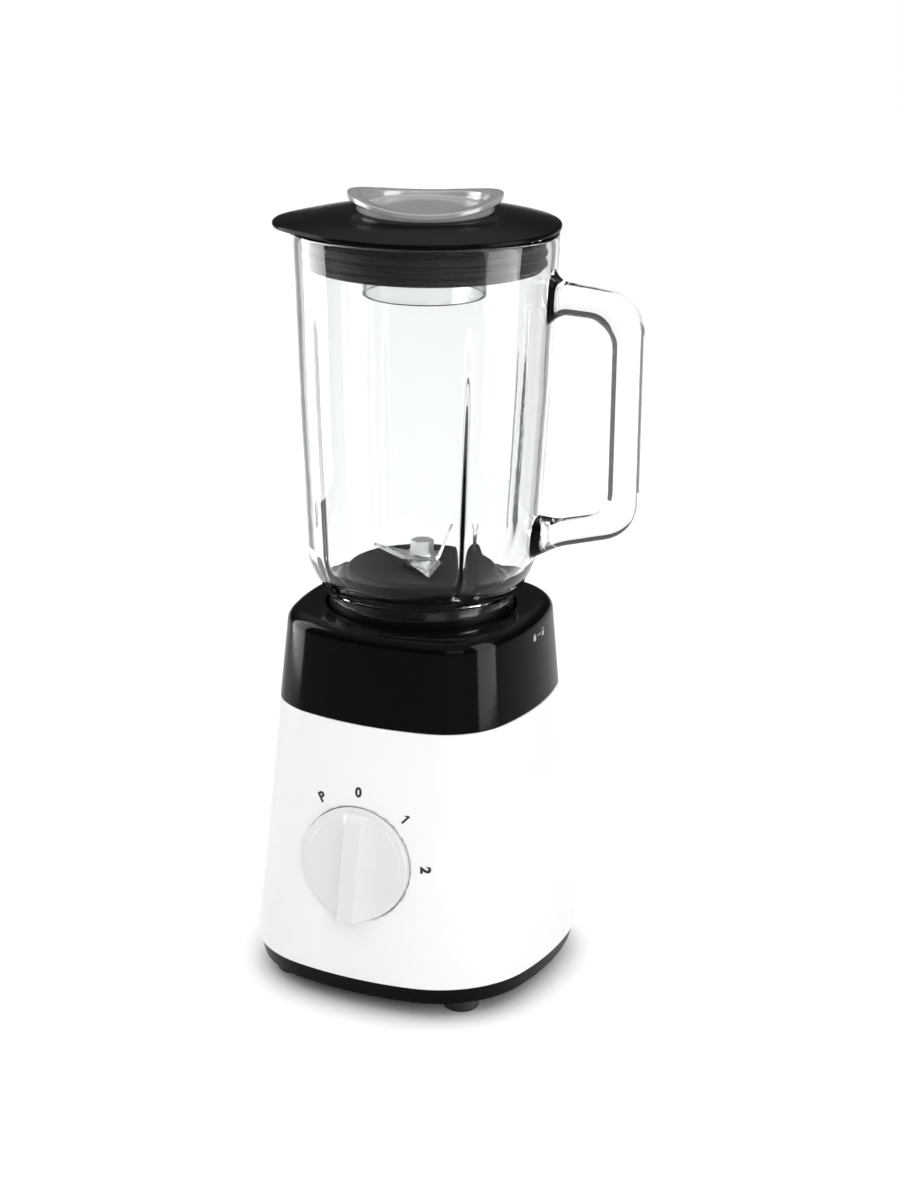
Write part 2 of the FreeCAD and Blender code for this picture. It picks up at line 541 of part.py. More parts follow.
def motor_frame():
    """Two brackets tied together through the stator, which carry the bearings; the upper one has
    four arms to the rubber mounts."""
    tie = corners("tie_at", "tie_at")
    low_top = "bracket_low + bracket_thick"
    low_ties = [cylinder(f"low_tie_{place}", "tie_r", low_top, f"stack_low - ({low_top})", *spot)
                for place, spot in enumerate(tie)]
    low_plate = fused("low_plate", [cylinder("low_disc", "bracket_r", "bracket_low", "bracket_thick"),
                                    *[cylinder(f"low_pad_{place}", "tie_r + 3", "bracket_low",
                                               "bracket_thick", *spot) for place, spot in enumerate(tie)],
                                    *low_ties])
    bore = cylinder("low_bore", "bearing_r", "bracket_low - 1", "bracket_thick + 2")
    windows = [cylinder(f"low_window_{place}", "7.5", "bracket_low - 1", "bracket_thick + 2",
                        *at_angle("22", str(90 * place))) for place in range(4)]
    node(cut_away("low_frame", low_plate, fused("low_cuts", [bore] + windows)), "lower_bracket")

    high_ties = [cylinder(f"high_tie_{place}", "tie_r", "stack_high", "bracket_high - stack_high + 1", *spot)
                 for place, spot in enumerate(tie)]
    arms = []
    for place in range(2):
        angle = 45 + 90 * place
        corner = (f"mount_r * sin({angle}) - arm_at * sqrt(2) * cos({angle})",
                  f"-mount_r * cos({angle}) - arm_at * sqrt(2) * sin({angle})", "bracket_high")
        arm = block(f"arm_{place}", ("2 * arm_at * sqrt(2)", "mount_r * 2", "bracket_thick"), corner)
        arm.Placement = FreeCAD.Placement(V(), FreeCAD.Rotation(UP, angle))
        arms.append(arm)
    pads = [cylinder(f"pad_{place}", "mount_r", "bracket_high", "bracket_thick", *spot)
            for place, spot in enumerate(corners("arm_at", "arm_at"))]
    hub = cylinder("high_hub", "bearing_r + 5", "bracket_high", "bracket_thick")
    high_plate = fused("high_plate", [hub] + arms + pads + high_ties)
    cuts = [cylinder(f"pad_hole_{place}", "screw_r + screw_play", "bracket_high - 1", "bracket_thick + 2", *spot)
            for place, spot in enumerate(corners("arm_at", "arm_at"))]
    cuts.append(cylinder("high_bore", "bearing_r", "bracket_high - 1", "bracket_thick + 2"))
    node(cut_away("high_frame", high_plate, fused("high_cuts", cuts)), "upper_bracket")


def stator():
    """Laminated stator core with a round bore and two winding windows, and its two field coils."""
    stack = "stack_high - stack_low"
    core = block("core_block", ("2 * stator_half", "2 * stator_half", stack),
                 ("-stator_half", "-stator_half", "stack_low"))
    bore = cylinder("core_bore", "rotor_r + air_gap", "stack_low - 1", f"{stack} + 2")
    windows = [block(f"core_window_{place}", ("coil_out - coil_in + 1", "36", f"{stack} + 2"),
                     (across, "-18", "stack_low - 1"))
               for place, across in enumerate(("coil_in - 0.5", "-coil_out - 0.5"))]
    node(cut_away("core_solid", core, fused("core_cuts", [bore] + windows)), "stator_core")
    for label, hand in (("field_coil_front", -1), ("field_coil_back", 1)):
        bars = []
        for place, across in enumerate(("coil_in", "-coil_out")):
            near = "3" if hand > 0 else "-16.5"
            bars.append(block(f"{label}_leg_{place}", ("coil_out - coil_in", "13.5", f"{stack} + 2 * coil_thick"),
                              (across, near, "stack_low - coil_thick")))
        for place, low in enumerate(("stack_low - coil_thick", "stack_high")):
            across_low = "20.5" if hand > 0 else "-30"
            bars.append(block(f"{label}_bar_{place}", ("2 * coil_out", "9.5", "coil_thick"),
                              ("-coil_out", across_low, low)))
            for side, across in enumerate(("coil_in", "-coil_out")):
                start = "3" if hand > 0 else "-30"
                bars.append(block(f"{label}_side_{place}_{side}", ("coil_out - coil_in", "27", "coil_thick"),
                                  (across, start, low)))
        node(fused(label + "_bars", bars), label)


def brushes():
    """Two carbon brushes in holders, one each side of the commutator."""
    for label, hand in (("left", -1), ("right", 1)):
        start = "14" if hand > 0 else "-32"
        case = block(f"holder_case_{label}", ("18", "9", "11"), (start, "-4.5", "brush_z - 5.5"))
        bore = block(f"holder_bore_{label}", ("20", "5.2", "7.2"), (f"{start} - 1", "-2.6", "brush_z - 3.6"))
        node(cut_away(f"holder_{label}", case, bore), f"brush_holder_{label}")
        inner = "commutator_r + 0.2" if hand > 0 else "-commutator_r - 0.2 - 15"
        node(block(f"carbon_{label}", ("15", "5", "7"), (inner, "-2.5", "brush_z - 3.5")),
             f"carbon_brush_{label}")


def motor_mounts():
    """Four rubber mounts between the upper bracket's arms and the upper shell's posts."""
    rings = []
    for place, spot in enumerate(corners("arm_at", "arm_at")):
        low = "bracket_high + bracket_thick"
        outer = cylinder(f"mount_disc_{place}", "mount_r", low, "mount_thick", *spot)
        hole = cylinder(f"mount_hole_{place}", "screw_r + screw_play", f"{low} - 1", "mount_thick + 2", *spot)
        rings.append(cut_away(f"mount_{place}", outer, hole))
    group = doc.addObject("Part::Compound", "mounts")
    group.Links = rings
    return node(group, "motor_mounts")


# ---------------------------------------------------------------- lock ring and interlock
def lock_ring():
    """Ring in the seat that turns with the jug: four keys on top, a ramped pocket underneath that
    works the interlock's pin."""
    body = new_body("lock_ring")
    turn(body, "band", [("ring_in", "ring_low"), ("seat_r - ring_play", "ring_low"),
                        ("seat_r - ring_play", "ring_top"), ("ring_in", "ring_top")])
    key = disc(body, "key", "key_r", "ring_top - 1", "key_top - ring_top + 1", *at_angle("key_at", "45"))
    four_ways(body, "keys", key)
    ramp = new_sketch(body, "ramp_outline", "YZ_Plane", height="pin_at - ramp_in")
    add_outline(ramp, [("-2.6", "ring_low - 1"), ("16.5", "ring_low - 1"), ("16.5", "ring_low + pin_rise + 0.9"),
                       ("-2.6", "ring_low + 0.3")])
    extrude(body, "ramp", ramp, "ramp_in + ramp_out", cut=True)
    return spin_about_z(body, "pin_angle")


def interlock():
    """Sliding pin under the lock ring and the small switch that it presses."""
    across, up = at_angle("pin_at", "pin_angle")
    stem = cylinder("pin_stem", "pin_r", "pin_low", "pin_top - pin_low", across, up)
    flange = cylinder("pin_flange", "pin_r + 1.8", "pin_low + 3", "1.5", across, up)
    node(fused("pin_solid", [stem, flange]), "interlock_plunger")
    node(block("switch_body", ("20", "7", "10"), (f"{across} - 14", f"{up} - 3.5", "pin_low - 10.2")),
         "interlock_switch")


# ---------------------------------------------------------------- jug
def glass_jug():
    """Glass jug: a tapering wall on a rounded bowl, a spigot for the collar, a pouring lip, a loop
    handle and four ribs inside."""
    body = new_body("glass_jug")
    turn(body, "outside", [("0", "spigot_low"), ("spigot_r", "spigot_low"), ("spigot_r", "heel_z"),
                           ("heel_r", "heel_z"), ("hip_r", "hip_z"), ("waist_r", "waist_z", "bowl_round"),
                           ("61.2", "294"), ("62.6", "339"), ("mouth_r", "366"), ("mouth_r", "mouth_z - 1.8"),
                           ("mouth_r - 1.8", "mouth_z", "1.8"), ("0", "mouth_z")])
    spout_parts(body, "spout", "0", cut=False)
    loop = new_sketch(body, "handle_outline", "XZ_Plane")
    add_outline(loop, [("57", "360"), ("63.5", "359.5"), ("71.5", "353.2", "9"), ("89", "handle_top"),
                       ("handle_out - 0.6", "331", "-19"), ("handle_out", "254"),
                       ("93.5", "handle_low", "-20"), ("74", "226.3"), ("60", "220"), ("52", "220"),
                       ("52", "236.5"), ("66", "237.5"), ("81", "handle_over"),
                       ("handle_in", "254", "12.9"), ("handle_in", "324"), ("80", "handle_under", "13.9"),
                       ("65", "338.3"), ("57", "333")])
    handle = extrude(body, "handle", loop, "2 * handle_half", middle=True)
    round_handle(body, handle)
    turn(body, "inside", [("0", "spigot_low - 1"), ("throat_r", "spigot_low - 1"), ("throat_r", "throat_top"),
                          ("43", "throat_top + 1.4"), ("waist_r - glass", "waist_z", "bowl_round / 1.6"),
                          ("61.2 - glass", "294"), ("62.6 - glass", "339"), ("mouth_r - glass", "366"),
                          ("mouth_r - glass", "mouth_z + 1"), ("0", "mouth_z + 1")], cut=True)
    spout_parts(body, "spout_hollow", "glass", cut=True)
    for place, yaw in enumerate(("rib_angle", "180 - rib_angle", "180 + rib_angle", "-rib_angle")):
        rib = new_sketch(body, f"rib_outline_{place}", "XZ_Plane", yaw=yaw)
        add_outline(rib, [("waist_r - glass + 1", "waist_z - 1"), ("62.6 - glass + 1", "rib_top - 1"),
                          ("62.6 - glass", "rib_top + 1"), ("62.6 - glass - rib_deep", "rib_top - 6", "6.2"),
                          ("waist_r - glass - rib_deep", "waist_z + 8"), ("46", "205.5", "-bowl_round / 1.2"),
                          ("48.5", "203")])
        extrude(body, f"rib_{place}", rib, "2 * rib_half", middle=True)
    return spin_about_z(body, "jug_yaw")


def spout_parts(body, name, inset, cut):
    """The pouring lip opposite the handle, a leaning cone whose circles touch the jug's wall."""
    low = add_circle(new_sketch(body, name + "_low", height=f"spout_low + 2 * ({inset})"),
                     f"spout_r - ({inset})", "-(62.6 - spout_r)")
    high = add_circle(new_sketch(body, name + "_high", height=f"mouth_z + {'1' if cut else '0'}"),
                      f"spout_r - 3 - ({inset})", "-(spout_reach - spout_r + 3)")
    return loft(body, name, [low, high], cut)


def round_handle(body, handle):
    """Round the handle's long edges, those that lie outside the jug's wall."""
    doc.recompute()
    half = value("handle_half")
    names = []
    for place, edge in enumerate(handle.Shape.Edges, start=1):
        middle = edge.valueAt(edge.getParameterByLength(edge.Length / 2))
        spots = [corner.Point for corner in edge.Vertexes] + [middle]
        flat = all(abs(abs(spot.y) - half) < 0.01 for spot in spots)
        if flat and all(spot.x > 68 for spot in spots):
            names.append(f"Edge{place}")
    feature = body.newObject("PartDesign::Fillet", "handle_edges")
    feature.Base = (handle, names)
    return bind(feature, Radius="handle_round")


def jug_collar():
    """Black collar screwed on the glass spigot, with a lip under the blade holder, four outer lugs
    and four holes for the lock ring's keys."""
    body = new_body("jug_collar")
    turn(body, "band", [("lip_r", "collar_low"), ("collar_r", "collar_low"), ("collar_r", "collar_top"),
                        ("spigot_r + 0.05", "collar_top"), ("spigot_r + 0.05", "collar_lip"),
                        ("lip_r", "collar_lip")])
    lug = new_sketch(body, "lug_outline", height="collar_lip")
    add_outline(lug, [("collar_r - 1.5", "-5"), ("lug_r - 0.3", "-5"), ("lug_r - 0.3", "5", "lug_r"),
                      ("collar_r - 1.5", "5")])
    four_ways(body, "lugs", extrude(body, "lug", lug, "collar_top - collar_lip"))
    hole = disc(body, "key_hole", "key_r + 0.15", "collar_low - 1", "collar_lip - collar_low + 1",
                *at_angle("key_at", "45 - jug_yaw + pin_angle - 180"), cut=True)
    four_ways(body, "key_holes", hole)
    return spin_about_z(body, "jug_yaw")


def blade_holder():
    """Black holder in the jug's throat: a flange under the glass, a hollow plug, a round top."""
    body = new_body("blade_holder")
    turn(body, "holder", [("hollow_r", "collar_lip"), ("hollow_r + 3", "collar_lip"),
                          ("hollow_r + 3", "disc_z - 6"), ("plug_r - 3.2", "disc_z - 6"),
                          ("plug_r - 3.2", "collar_lip"), ("flange_r", "collar_lip"),
                          ("flange_r", "flange_top"), ("plug_r", "flange_top"), ("plug_r", "disc_z - 3"),
                          ("disc_r", "disc_z", "3.4"), ("bush_r + 5", "disc_z"), ("bush_r + 3", "disc_z + 0.8"),
                          ("bush_r", "disc_z + 0.8"), ("bush_r", "hollow_top"), ("hollow_r", "hollow_top")])
    return spin_about_z(body, "jug_yaw")


def bent_blades(label, low, tips, width, yaw):
    """A pair of pointed blades from one bent strip; tips holds each end's (reach, rise) rules."""
    body = new_body(label)
    near, far = tips
    side = new_sketch(body, "strip_outline", "XZ_Plane")
    thick = "blade_thick"
    add_outline(side, [(f"-({far[0]})", f"{low} + {far[1]}"), ("-9", low), ("9", low),
                       (near[0], f"{low} + {near[1]}"), (f"{near[0]} - {thick}", f"{low} + {near[1]} + {thick}"),
                       (f"9 - {thick} / 2", f"{low} + {thick}"), (f"{thick} / 2 - 9", f"{low} + {thick}"),
                       (f"{thick} - ({far[0]})", f"{low} + {far[1]} + {thick}")])
    extrude(body, "strip", side, width, middle=True)
    plan = new_sketch(body, "plan_outline", height=f"{low} - 12")
    add_outline(plan, [("-50", "-30"), ("50", "-30"), ("50", "30"), ("-50", "30")])
    add_outline(plan, [("-blade_reach - 1", f"{width} / 6"), ("-9", f"-{width} / 2 - 0.1"),
                       ("9", f"-{width} / 2 - 0.1"), ("blade_reach + 1", f"-{width} / 6"),
                       ("9", f"{width} / 2 + 0.1"), ("-9", f"{width} / 2 + 0.1")])
    extrude(body, "plan", plan, "60", cut=True)
    disc(body, "hub_hole", "spindle_r", f"{low} - 5", "15", cut=True)
    return spin_about_z(body, yaw)


def blade_stack():
    """Spindle, blades, washers and nut, from the driven coupling up."""
    node(cylinder("spindle", "spindle_r", "spindle_low", "spindle_top - spindle_low"), "blade_spindle")
    node(ring("thrust", "spindle_r", "7", "blade_low - hub_thick", "hub_thick"), "thrust_washer")
    bent_blades("lower_blades", "blade_low", (("blade_reach", "-1.2"), ("blade_reach", "-1.2")), "15", "-52")
    bent_blades("upper_blades", "(blade_low + blade_thick)", (("15", "17"), ("blade_reach - 4", "4")), "14", "20")
    node(ring("top_washer", "spindle_r", "6.2", "blade_low + 2 * blade_thick", "hub_thick"), "blade_washer")
    nut = new_body("blade_nut")
    low = "blade_low + 2 * blade_thick + hub_thick"
    six = new_sketch(nut, "hexagon", height=low)
    add_outline(six, [at_angle("nut_half / cos(30)", f"{30 + 60 * side}") for side in range(6)])
    extrude(nut, "six_sides", six, "nut_high")
    doc.recompute()
    disc(nut, "thread_hole", "spindle_r", f"{low} - 1", f"spindle_top - ({low}) + 1", cut=True)
    return nut


# ---------------------------------------------------------------- lid and measuring cap
def lid():
    """Black lid: a shallow dome with a beak over the pouring lip, a deep skirt, a hole for the cap."""
    body = new_body("lid")
    turn(body, "dome", [("cap_hole", "lid_low - 5"), ("cap_hole + 2.5", "lid_low - 5"),
                        ("cap_hole + 2.5", "lid_low + 2.6"), ("skirt_in", "lid_low"), ("skirt_in", "skirt_low"),
                        ("skirt_out", "skirt_low"), ("skirt_out", "lid_low"), ("lid_r", "lid_low"),
                        ("lid_r", "lid_edge - 0.8"), ("lid_r - 0.8", "lid_edge", "0.8"),
                        ("cap_r + 2", "lid_dome", "160"), ("cap_hole", "lid_dome")])
    beak = new_sketch(body, "beak_outline", height="lid_low")
    add_outline(beak, [("-45", "-45.8"), ("-45", "45.8"), ("-60", "22"), ("-(beak_reach - 2)", "8.4", "60"),
                       ("-(beak_reach - 2)", "-8.4", "beak_r"), ("-60", "-22", "60")])
    extrude(body, "beak", beak, "lid_edge - lid_low - 0.4")
    return spin_about_z(body, "lid_yaw")


def lid_seal():
    """Rubber seal round the skirt with three fins, and a thin flange that rests on the jug's rim."""
    body = new_body("lid_seal")
    outline = [("skirt_out", "skirt_low + 0.6"), ("seal_root", "skirt_low + 0.6")]
    for fin in range(3):
        low = f"skirt_low + 2 + {fin} * fin_pitch"
        outline += [("seal_root", low), ("seal_r", f"{low} + 1"), ("seal_r", f"{low} + 1.8"),
                    ("seal_root", f"{low} + 2.8")]
    outline += [("seal_root", "lid_low - 0.4"), ("mouth_r - 2.4", "lid_low - 0.4"),
                ("mouth_r - 2.4", "lid_low"), ("skirt_out", "lid_low")]
    turn(body, "seal", outline)
    return spin_about_z(body, "lid_yaw")


def saddle_outline(sketch, dip, above):
    """The region above or below an arc that dips to a height in the middle and rises to both sides."""
    side = f"({dip}) + saddle_r - sqrt(saddle_r^2 - (cap_r + 4)^2)"
    far = "cap_side + 12" if above else "cap_low - 3"
    corners_ = [("cap_r + 4", side), ("cap_r + 4", far), ("-cap_r - 4", far), ("-cap_r - 4", side)]
    corners_[0] = ("cap_r + 4", side, "saddle_r")
    return add_outline(sketch, corners_)


def measuring_cap():
    """Clear cap: a saddle-shaped flange with a shallow dish, over a cup that opens downwards."""
    body = new_body("measuring_cap")
    disc(body, "flange", "cap_r", "cap_low", "cap_side + 2 - cap_low")
    under = saddle_outline(new_sketch(body, "under_outline", "XZ_Plane"), "cap_front - cap_edge", above=False)
    extrude(body, "under", under, "100", cut=True, middle=True)
    disc(body, "core", "cap_core", "cap_low", "cap_side - cap_low")
    disc(body, "cup", "cup_r", "cup_low", "cap_low - cup_low + 0.5")
    over = saddle_outline(new_sketch(body, "over_outline", "XZ_Plane"), "cap_front", above=True)
    extrude(body, "over", over, "100", cut=True, middle=True)
    disc(body, "dish", "dish_r", "cap_floor", "20", cut=True)
    disc(body, "hollow", "cup_r - cup_wall", "cup_low - 1", "cap_floor - cup_wall - cup_low + 1", cut=True)
    return spin_about_z(body, "lid_yaw")


# ---------------------------------------------------------------- the whole blender
upper_shell()
body_shell()
bottom_plate()
for side_name, side_x in (("left", "-1"), ("right", "1")):
    for end_name, end_y in (("front", "-1"), ("back", "1")):
        foot(f"foot_{end_name}_{side_name}", f"{side_x} * foot_at", f"{end_y} * foot_at")
screws("bottom_screws", corners("post_x", "post_y"), "screw_r", "rim_z + 1.8", "post_top - rim_z - 12",
       "screw_head_r", "1.5")
cord_inlet()

knob()
knob_shaft()
rotary_switch()

armature_pieces()
drive_coupling()
bearing("lower_bearing", "bracket_low - 1")
bearing("upper_bearing", "bracket_high - 1")
motor_frame()
stator()
brushes()
motor_mounts()
screws("motor_screws", corners("arm_at", "arm_at"), "screw_r", "bracket_high", "24", "screw_head_r", "2.2")
node(ring("seal_disc", "axle_r + 0.1", "well_r", "seat_floor - deck + 0.2", "deck - 0.4"), "shaft_seal")

lock_ring()
interlock()

glass_jug()
jug_collar()
node(ring("gasket_ring", "plug_r + 0.2", "spigot_r - 0.6", "flange_top", "spigot_low - flange_top"), "jug_gasket")
blade_holder()
node(ring("bush_ring", "spindle_r + pin_play", "bush_r", "hollow_top - 1", "disc_z - hollow_top + 1"), "blade_bush")
node(ring("seal_lip", "spindle_r + 0.1", "bush_r + 2", "disc_z + 0.8", "1"), "spindle_seal")
driven_coupling()
blade_stack()

lid()
lid_seal()
measuring_cap()

doc.recompute()
failed = [item.Name for item in doc.Objects if {"Invalid", "Error"} & set(item.State)]
failed += [item.Label for item in NODES if item.Shape.isNull() or not item.Shape.isValid()]
if failed:
    raise SystemExit(f"failed: {failed}")

os.makedirs("parts", exist_ok=True)
for item in NODES:
    item.Shape.exportStep(f"parts/{item.Label}.step")
print(f"{len(NODES)} nodes written")
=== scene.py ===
"""Countertop blender: two-tone base, dial, glass jug, blades, lid and measuring cap, on a pale floor."""
import math

import bmesh
import bpy
import numpy as np
from bpy.props import FloatProperty, FloatVectorProperty, PointerProperty
from mathutils import Matrix, Vector


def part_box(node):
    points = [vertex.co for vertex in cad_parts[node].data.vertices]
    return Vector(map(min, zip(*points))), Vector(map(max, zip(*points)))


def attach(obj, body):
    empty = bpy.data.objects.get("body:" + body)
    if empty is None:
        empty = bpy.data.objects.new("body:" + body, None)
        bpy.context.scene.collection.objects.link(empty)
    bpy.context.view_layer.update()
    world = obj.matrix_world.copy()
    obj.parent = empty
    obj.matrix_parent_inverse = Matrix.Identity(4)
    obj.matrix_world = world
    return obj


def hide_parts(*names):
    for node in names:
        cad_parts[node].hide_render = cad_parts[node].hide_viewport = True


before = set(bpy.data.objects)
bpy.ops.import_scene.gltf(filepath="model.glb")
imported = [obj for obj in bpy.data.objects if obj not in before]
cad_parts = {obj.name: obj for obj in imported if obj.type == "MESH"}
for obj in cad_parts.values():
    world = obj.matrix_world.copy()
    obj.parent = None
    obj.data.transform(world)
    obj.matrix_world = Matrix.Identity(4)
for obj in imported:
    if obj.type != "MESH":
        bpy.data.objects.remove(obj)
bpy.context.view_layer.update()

bl_info = {
    "name": "Countertop Blender Looks",
    "version": (1, 0, 0),
    "blender": (4, 5, 0),
    "location": "3D View > Sidebar > Blender",
    "description": "Builds the visible surfaces of a countertop blender around its packed solids",
    "category": "Object",
}

MM = 0.001
TAU = 2 * math.pi
DIAL_TILT = math.radians(5.5)
JUG_YAW = math.radians(8)
LID_YAW = math.radians(26)

# millimetres from here on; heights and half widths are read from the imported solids
CROWN_LOW, CROWN_HIGH = (np.array(corner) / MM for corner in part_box("upper_shell"))
SEAM_HALF, SEAM_Z, TOP_Z = CROWN_HIGH[0], CROWN_LOW[2], CROWN_HIGH[2]
TRAY_LIP = 4.0
SKIRT_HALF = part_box("body_shell")[1][0] / MM
SKIRT_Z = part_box("bottom_plate")[1][2] / MM - TRAY_LIP
WALL = 2.6
SIDE_ARC, SIDE_BACK = 2.2, 1.2  # radius of the bowed sides and how far back its centre is, in half widths
SKIRT_CORNER, SEAM_CORNER = 0.69, 0.57  # radius of the rounded corners in half widths
SEAT_R, SEAT_FLOOR = 46.6, 172.0
DIAL_R, DIAL_Z, DIAL_SHAFT_R = 28.1, 76.0, 3.02
INLET_R, INLET_Z = 8.4, 32.0
SIGN_Z, SIGN_TURN = 179.6, math.radians(6)
JUG_RIBS, LIP = (48.5, 131.5, 228.5, 311.5), 180  # degrees from the handle
JUG_WALL = 3.6
LIP_LOW, LIP_RISE = 346.0, 29.2
SPINDLE_R = 3.52


# ---------------------------------------------------------------- surfaces from numpy arrays
def half_at(height):
    """The base's half width, a straight line from the skirt up to the seam and on."""
    return SKIRT_HALF + (SEAM_HALF - SKIRT_HALF) * (height - SKIRT_Z) / (SEAM_Z - SKIRT_Z)


def square_reach(angle, half, share):
    """Distance from the axis to a rounded square at an angle: four side arcs of radius 2.2 half widths,
    and four corner arcs whose radius is share of the half width, tangent to the sides. Along a ray, an
    arc about c of radius R is met at c.d + sqrt((c.d)^2 - c.c + R^2)."""
    folded = np.abs((angle + math.pi / 4) % (math.pi / 2) - math.pi / 4)
    side, corner, back = SIDE_ARC * half, share * half, SIDE_BACK * half
    spot = (-back + np.sqrt(2 * (side - corner) ** 2 - back**2)) / 2
    along = np.sqrt(side**2 - (back * np.sin(folded)) ** 2) - back * np.cos(folded)
    dot = spot * (np.cos(folded) + np.sin(folded))
    inner = np.sqrt(np.maximum(dot**2 - 2 * spot**2 + corner**2, 0))
    sweep = np.arctan2(spot, spot + back)
    touch = np.arctan2(side * np.sin(sweep), side * np.cos(sweep) - back)
    return np.where(folded < touch, along, dot + inner)


def round_corners(corners, steps=5, closed=True):
    """A path through (across, up, radius, ...) corners, where each corner becomes an arc that touches
    both its runs: centre + (sin((1-s)w) a + sin(s w) b) / sin w, s from 0 to 1. Further columns stay."""
    rows = np.array([tuple(corner) + (0,) * (4 - len(corner)) for corner in corners], float)
    spots, radii, extra = rows[:, :2], rows[:, 2].copy(), rows[:, 3:]
    if not closed:
        radii[[0, -1]] = 0
    before = np.roll(spots, 1, axis=0) - spots
    after = np.roll(spots, -1, axis=0) - spots
    before /= np.linalg.norm(before, axis=1, keepdims=True)
    after /= np.linalg.norm(after, axis=1, keepdims=True)
    half = np.arccos(np.clip((before * after).sum(1), -1, 1)) / 2
    middle = before + after
    middle /= np.maximum(np.linalg.norm(middle, axis=1, keepdims=True), 1e-9)
    centre = spots + middle * (radii / np.sin(half))[:, None]
    reach = (radii / np.tan(np.maximum(half, 1e-6)))[:, None]
    start, end = spots + before * reach - centre, spots + after * reach - centre
    sweep = math.pi - 2 * half[:, None]
    part = np.linspace(0, 1, steps)[None, :]
    size = np.maximum(np.sin(sweep), 1e-9)
    first = np.where(sweep < 1e-4, 1 - part, np.sin((1 - part) * sweep) / size)[..., None]
    last = np.where(sweep < 1e-4, part, np.sin(part * sweep) / size)[..., None]
    path = centre[:, None] + first * start[:, None] + last * end[:, None]
    path = np.concatenate([path, np.broadcast_to(extra[:, None], path.shape[:2] + extra.shape[1:])], axis=2)
    return path.reshape(-1, path.shape[2])


def even_runs(path, longest, closed=True):
    """The same path with points added so that no run is much longer than longest."""
    if closed:
        path = np.vstack([path, path[:1]])
    length = np.linalg.norm(np.diff(path[:, :2], axis=0), axis=1)
    at = np.concatenate([[0], np.cumsum(length)])
    added = np.arange(longest / 2, at[-1], longest)
    added = added[np.abs(added[:, None] - at[None, :]).min(1) > 0.3 * longest]
    order = np.sort(np.concatenate([at, added]))
    path = np.stack([np.interp(order, at, column) for column in path.T], axis=1)
    return path[:-1] if closed else path


def arc(start, end, radius, steps=12):
    """Points of an arc from start to end that bulges to the right of the way it is drawn."""
    start, end = np.array(start, float), np.array(end, float)
    chord = end - start
    length = np.hypot(*chord)
    left = np.array([-chord[1], chord[0]]) / length
    centre = (start + end) / 2 + left * math.sqrt(radius**2 - length**2 / 4)
    first = math.atan2(*(start - centre)[::-1])
    sweep = 2 * math.asin(length / 2 / radius)
    turn = first + sweep * np.linspace(0, 1, steps)
    return centre + radius * np.stack([np.cos(turn), np.sin(turn)], axis=1)


def grid_faces(rows, columns, wrap_rows, wrap_columns):
    """The quads of a grid of points, joined end to end where it wraps."""
    row = np.arange(rows if wrap_rows else rows - 1)[:, None]
    column = np.arange(columns if wrap_columns else columns - 1)[None, :]
    above, beside = (row + 1) % rows, (column + 1) % columns
    corners = [row * columns + column, row * columns + beside,
               above * columns + beside, above * columns + column]
    return np.stack(np.broadcast_arrays(*corners), axis=-1).reshape(-1, 4)


def piece_from_grid(name, points, wrap_rows=True, wrap_columns=True):
    """A closed smooth piece from a (rows, columns, 3) grid in millimetres. Rows that shrink to a point
    become poles."""
    rows, columns = points.shape[:2]
    mesh = bpy.data.meshes.new(name)
    faces = grid_faces(rows, columns, wrap_rows, wrap_columns)
    mesh.from_pydata((points.reshape(-1, 3) * MM).tolist(), [], faces.tolist())
    return tidy_piece(bpy.data.objects.new(name, mesh))


def tidy_piece(piece):
    """Close seams and poles, turn faces outwards, shade smooth by face area."""
    if piece.name not in bpy.context.scene.collection.objects:
        bpy.context.scene.collection.objects.link(piece)
    work = bmesh.new()
    work.from_mesh(piece.data)
    bmesh.ops.remove_doubles(work, verts=work.verts, dist=2e-6)
    bmesh.ops.dissolve_degenerate(work, edges=work.edges, dist=1e-6)
    bmesh.ops.recalc_face_normals(work, faces=work.faces)
    work.to_mesh(piece.data)
    work.free()
    piece.data.shade_smooth()
    return piece


def even_shading(piece):
    shading = piece.modifiers.new("even_shading", "WEIGHTED_NORMAL")
    shading.weight = 60
    return piece


def lathe(path, columns=128):
    """Points of a path of (radius, height) turned about +Z."""
    angle = np.arange(columns) * TAU / columns
    return round_axis(np.broadcast_to(path[:, :1], (len(path), columns)), path[:, 1:2], angle)


def round_axis(reach, height, angle):
    """Points at a reach from +Z, a height and an angle, for each row and column."""
    height = np.broadcast_to(height, reach.shape)
    return np.stack([reach * np.cos(angle), reach * np.sin(angle), height], axis=-1)


def turned(points, angle):
    """Points turned about +Z."""
    spin = np.array(Matrix.Rotation(angle, 3, "Z"))
    return points @ spin.T


def on_dial_axis(points):
    """Points drawn about +Z, set on the dial's axis: +Z along the front's outward normal, +Y up."""
    tip = np.array(Matrix.Rotation(math.pi / 2 - DIAL_TILT, 3, "X"))
    return points @ tip.T + np.array([0, -half_at(DIAL_Z), DIAL_Z])


def combine(piece, operation, tools):
    """Join the tools to a piece or cut them from it, and keep the result as its mesh."""
    for tool in tools:
        step = piece.modifiers.new(operation.lower(), "BOOLEAN")
        step.operation, step.object, step.solver = operation, tool, "EXACT"
    graph = bpy.context.evaluated_depsgraph_get()
    mesh = bpy.data.meshes.new_from_object(piece.evaluated_get(graph))
    piece.modifiers.clear()
    piece.data = mesh
    for tool in tools:
        bpy.data.objects.remove(tool)
    return tidy_piece(piece)


def tube(low, high, radius, hole=0.0, columns=64):
    """Points of a round bar from low to high, or of a tube if it has a hole, about +Z."""
    return lathe(np.array([(hole, low), (radius, low), (radius, high), (hole, high)], float), columns)


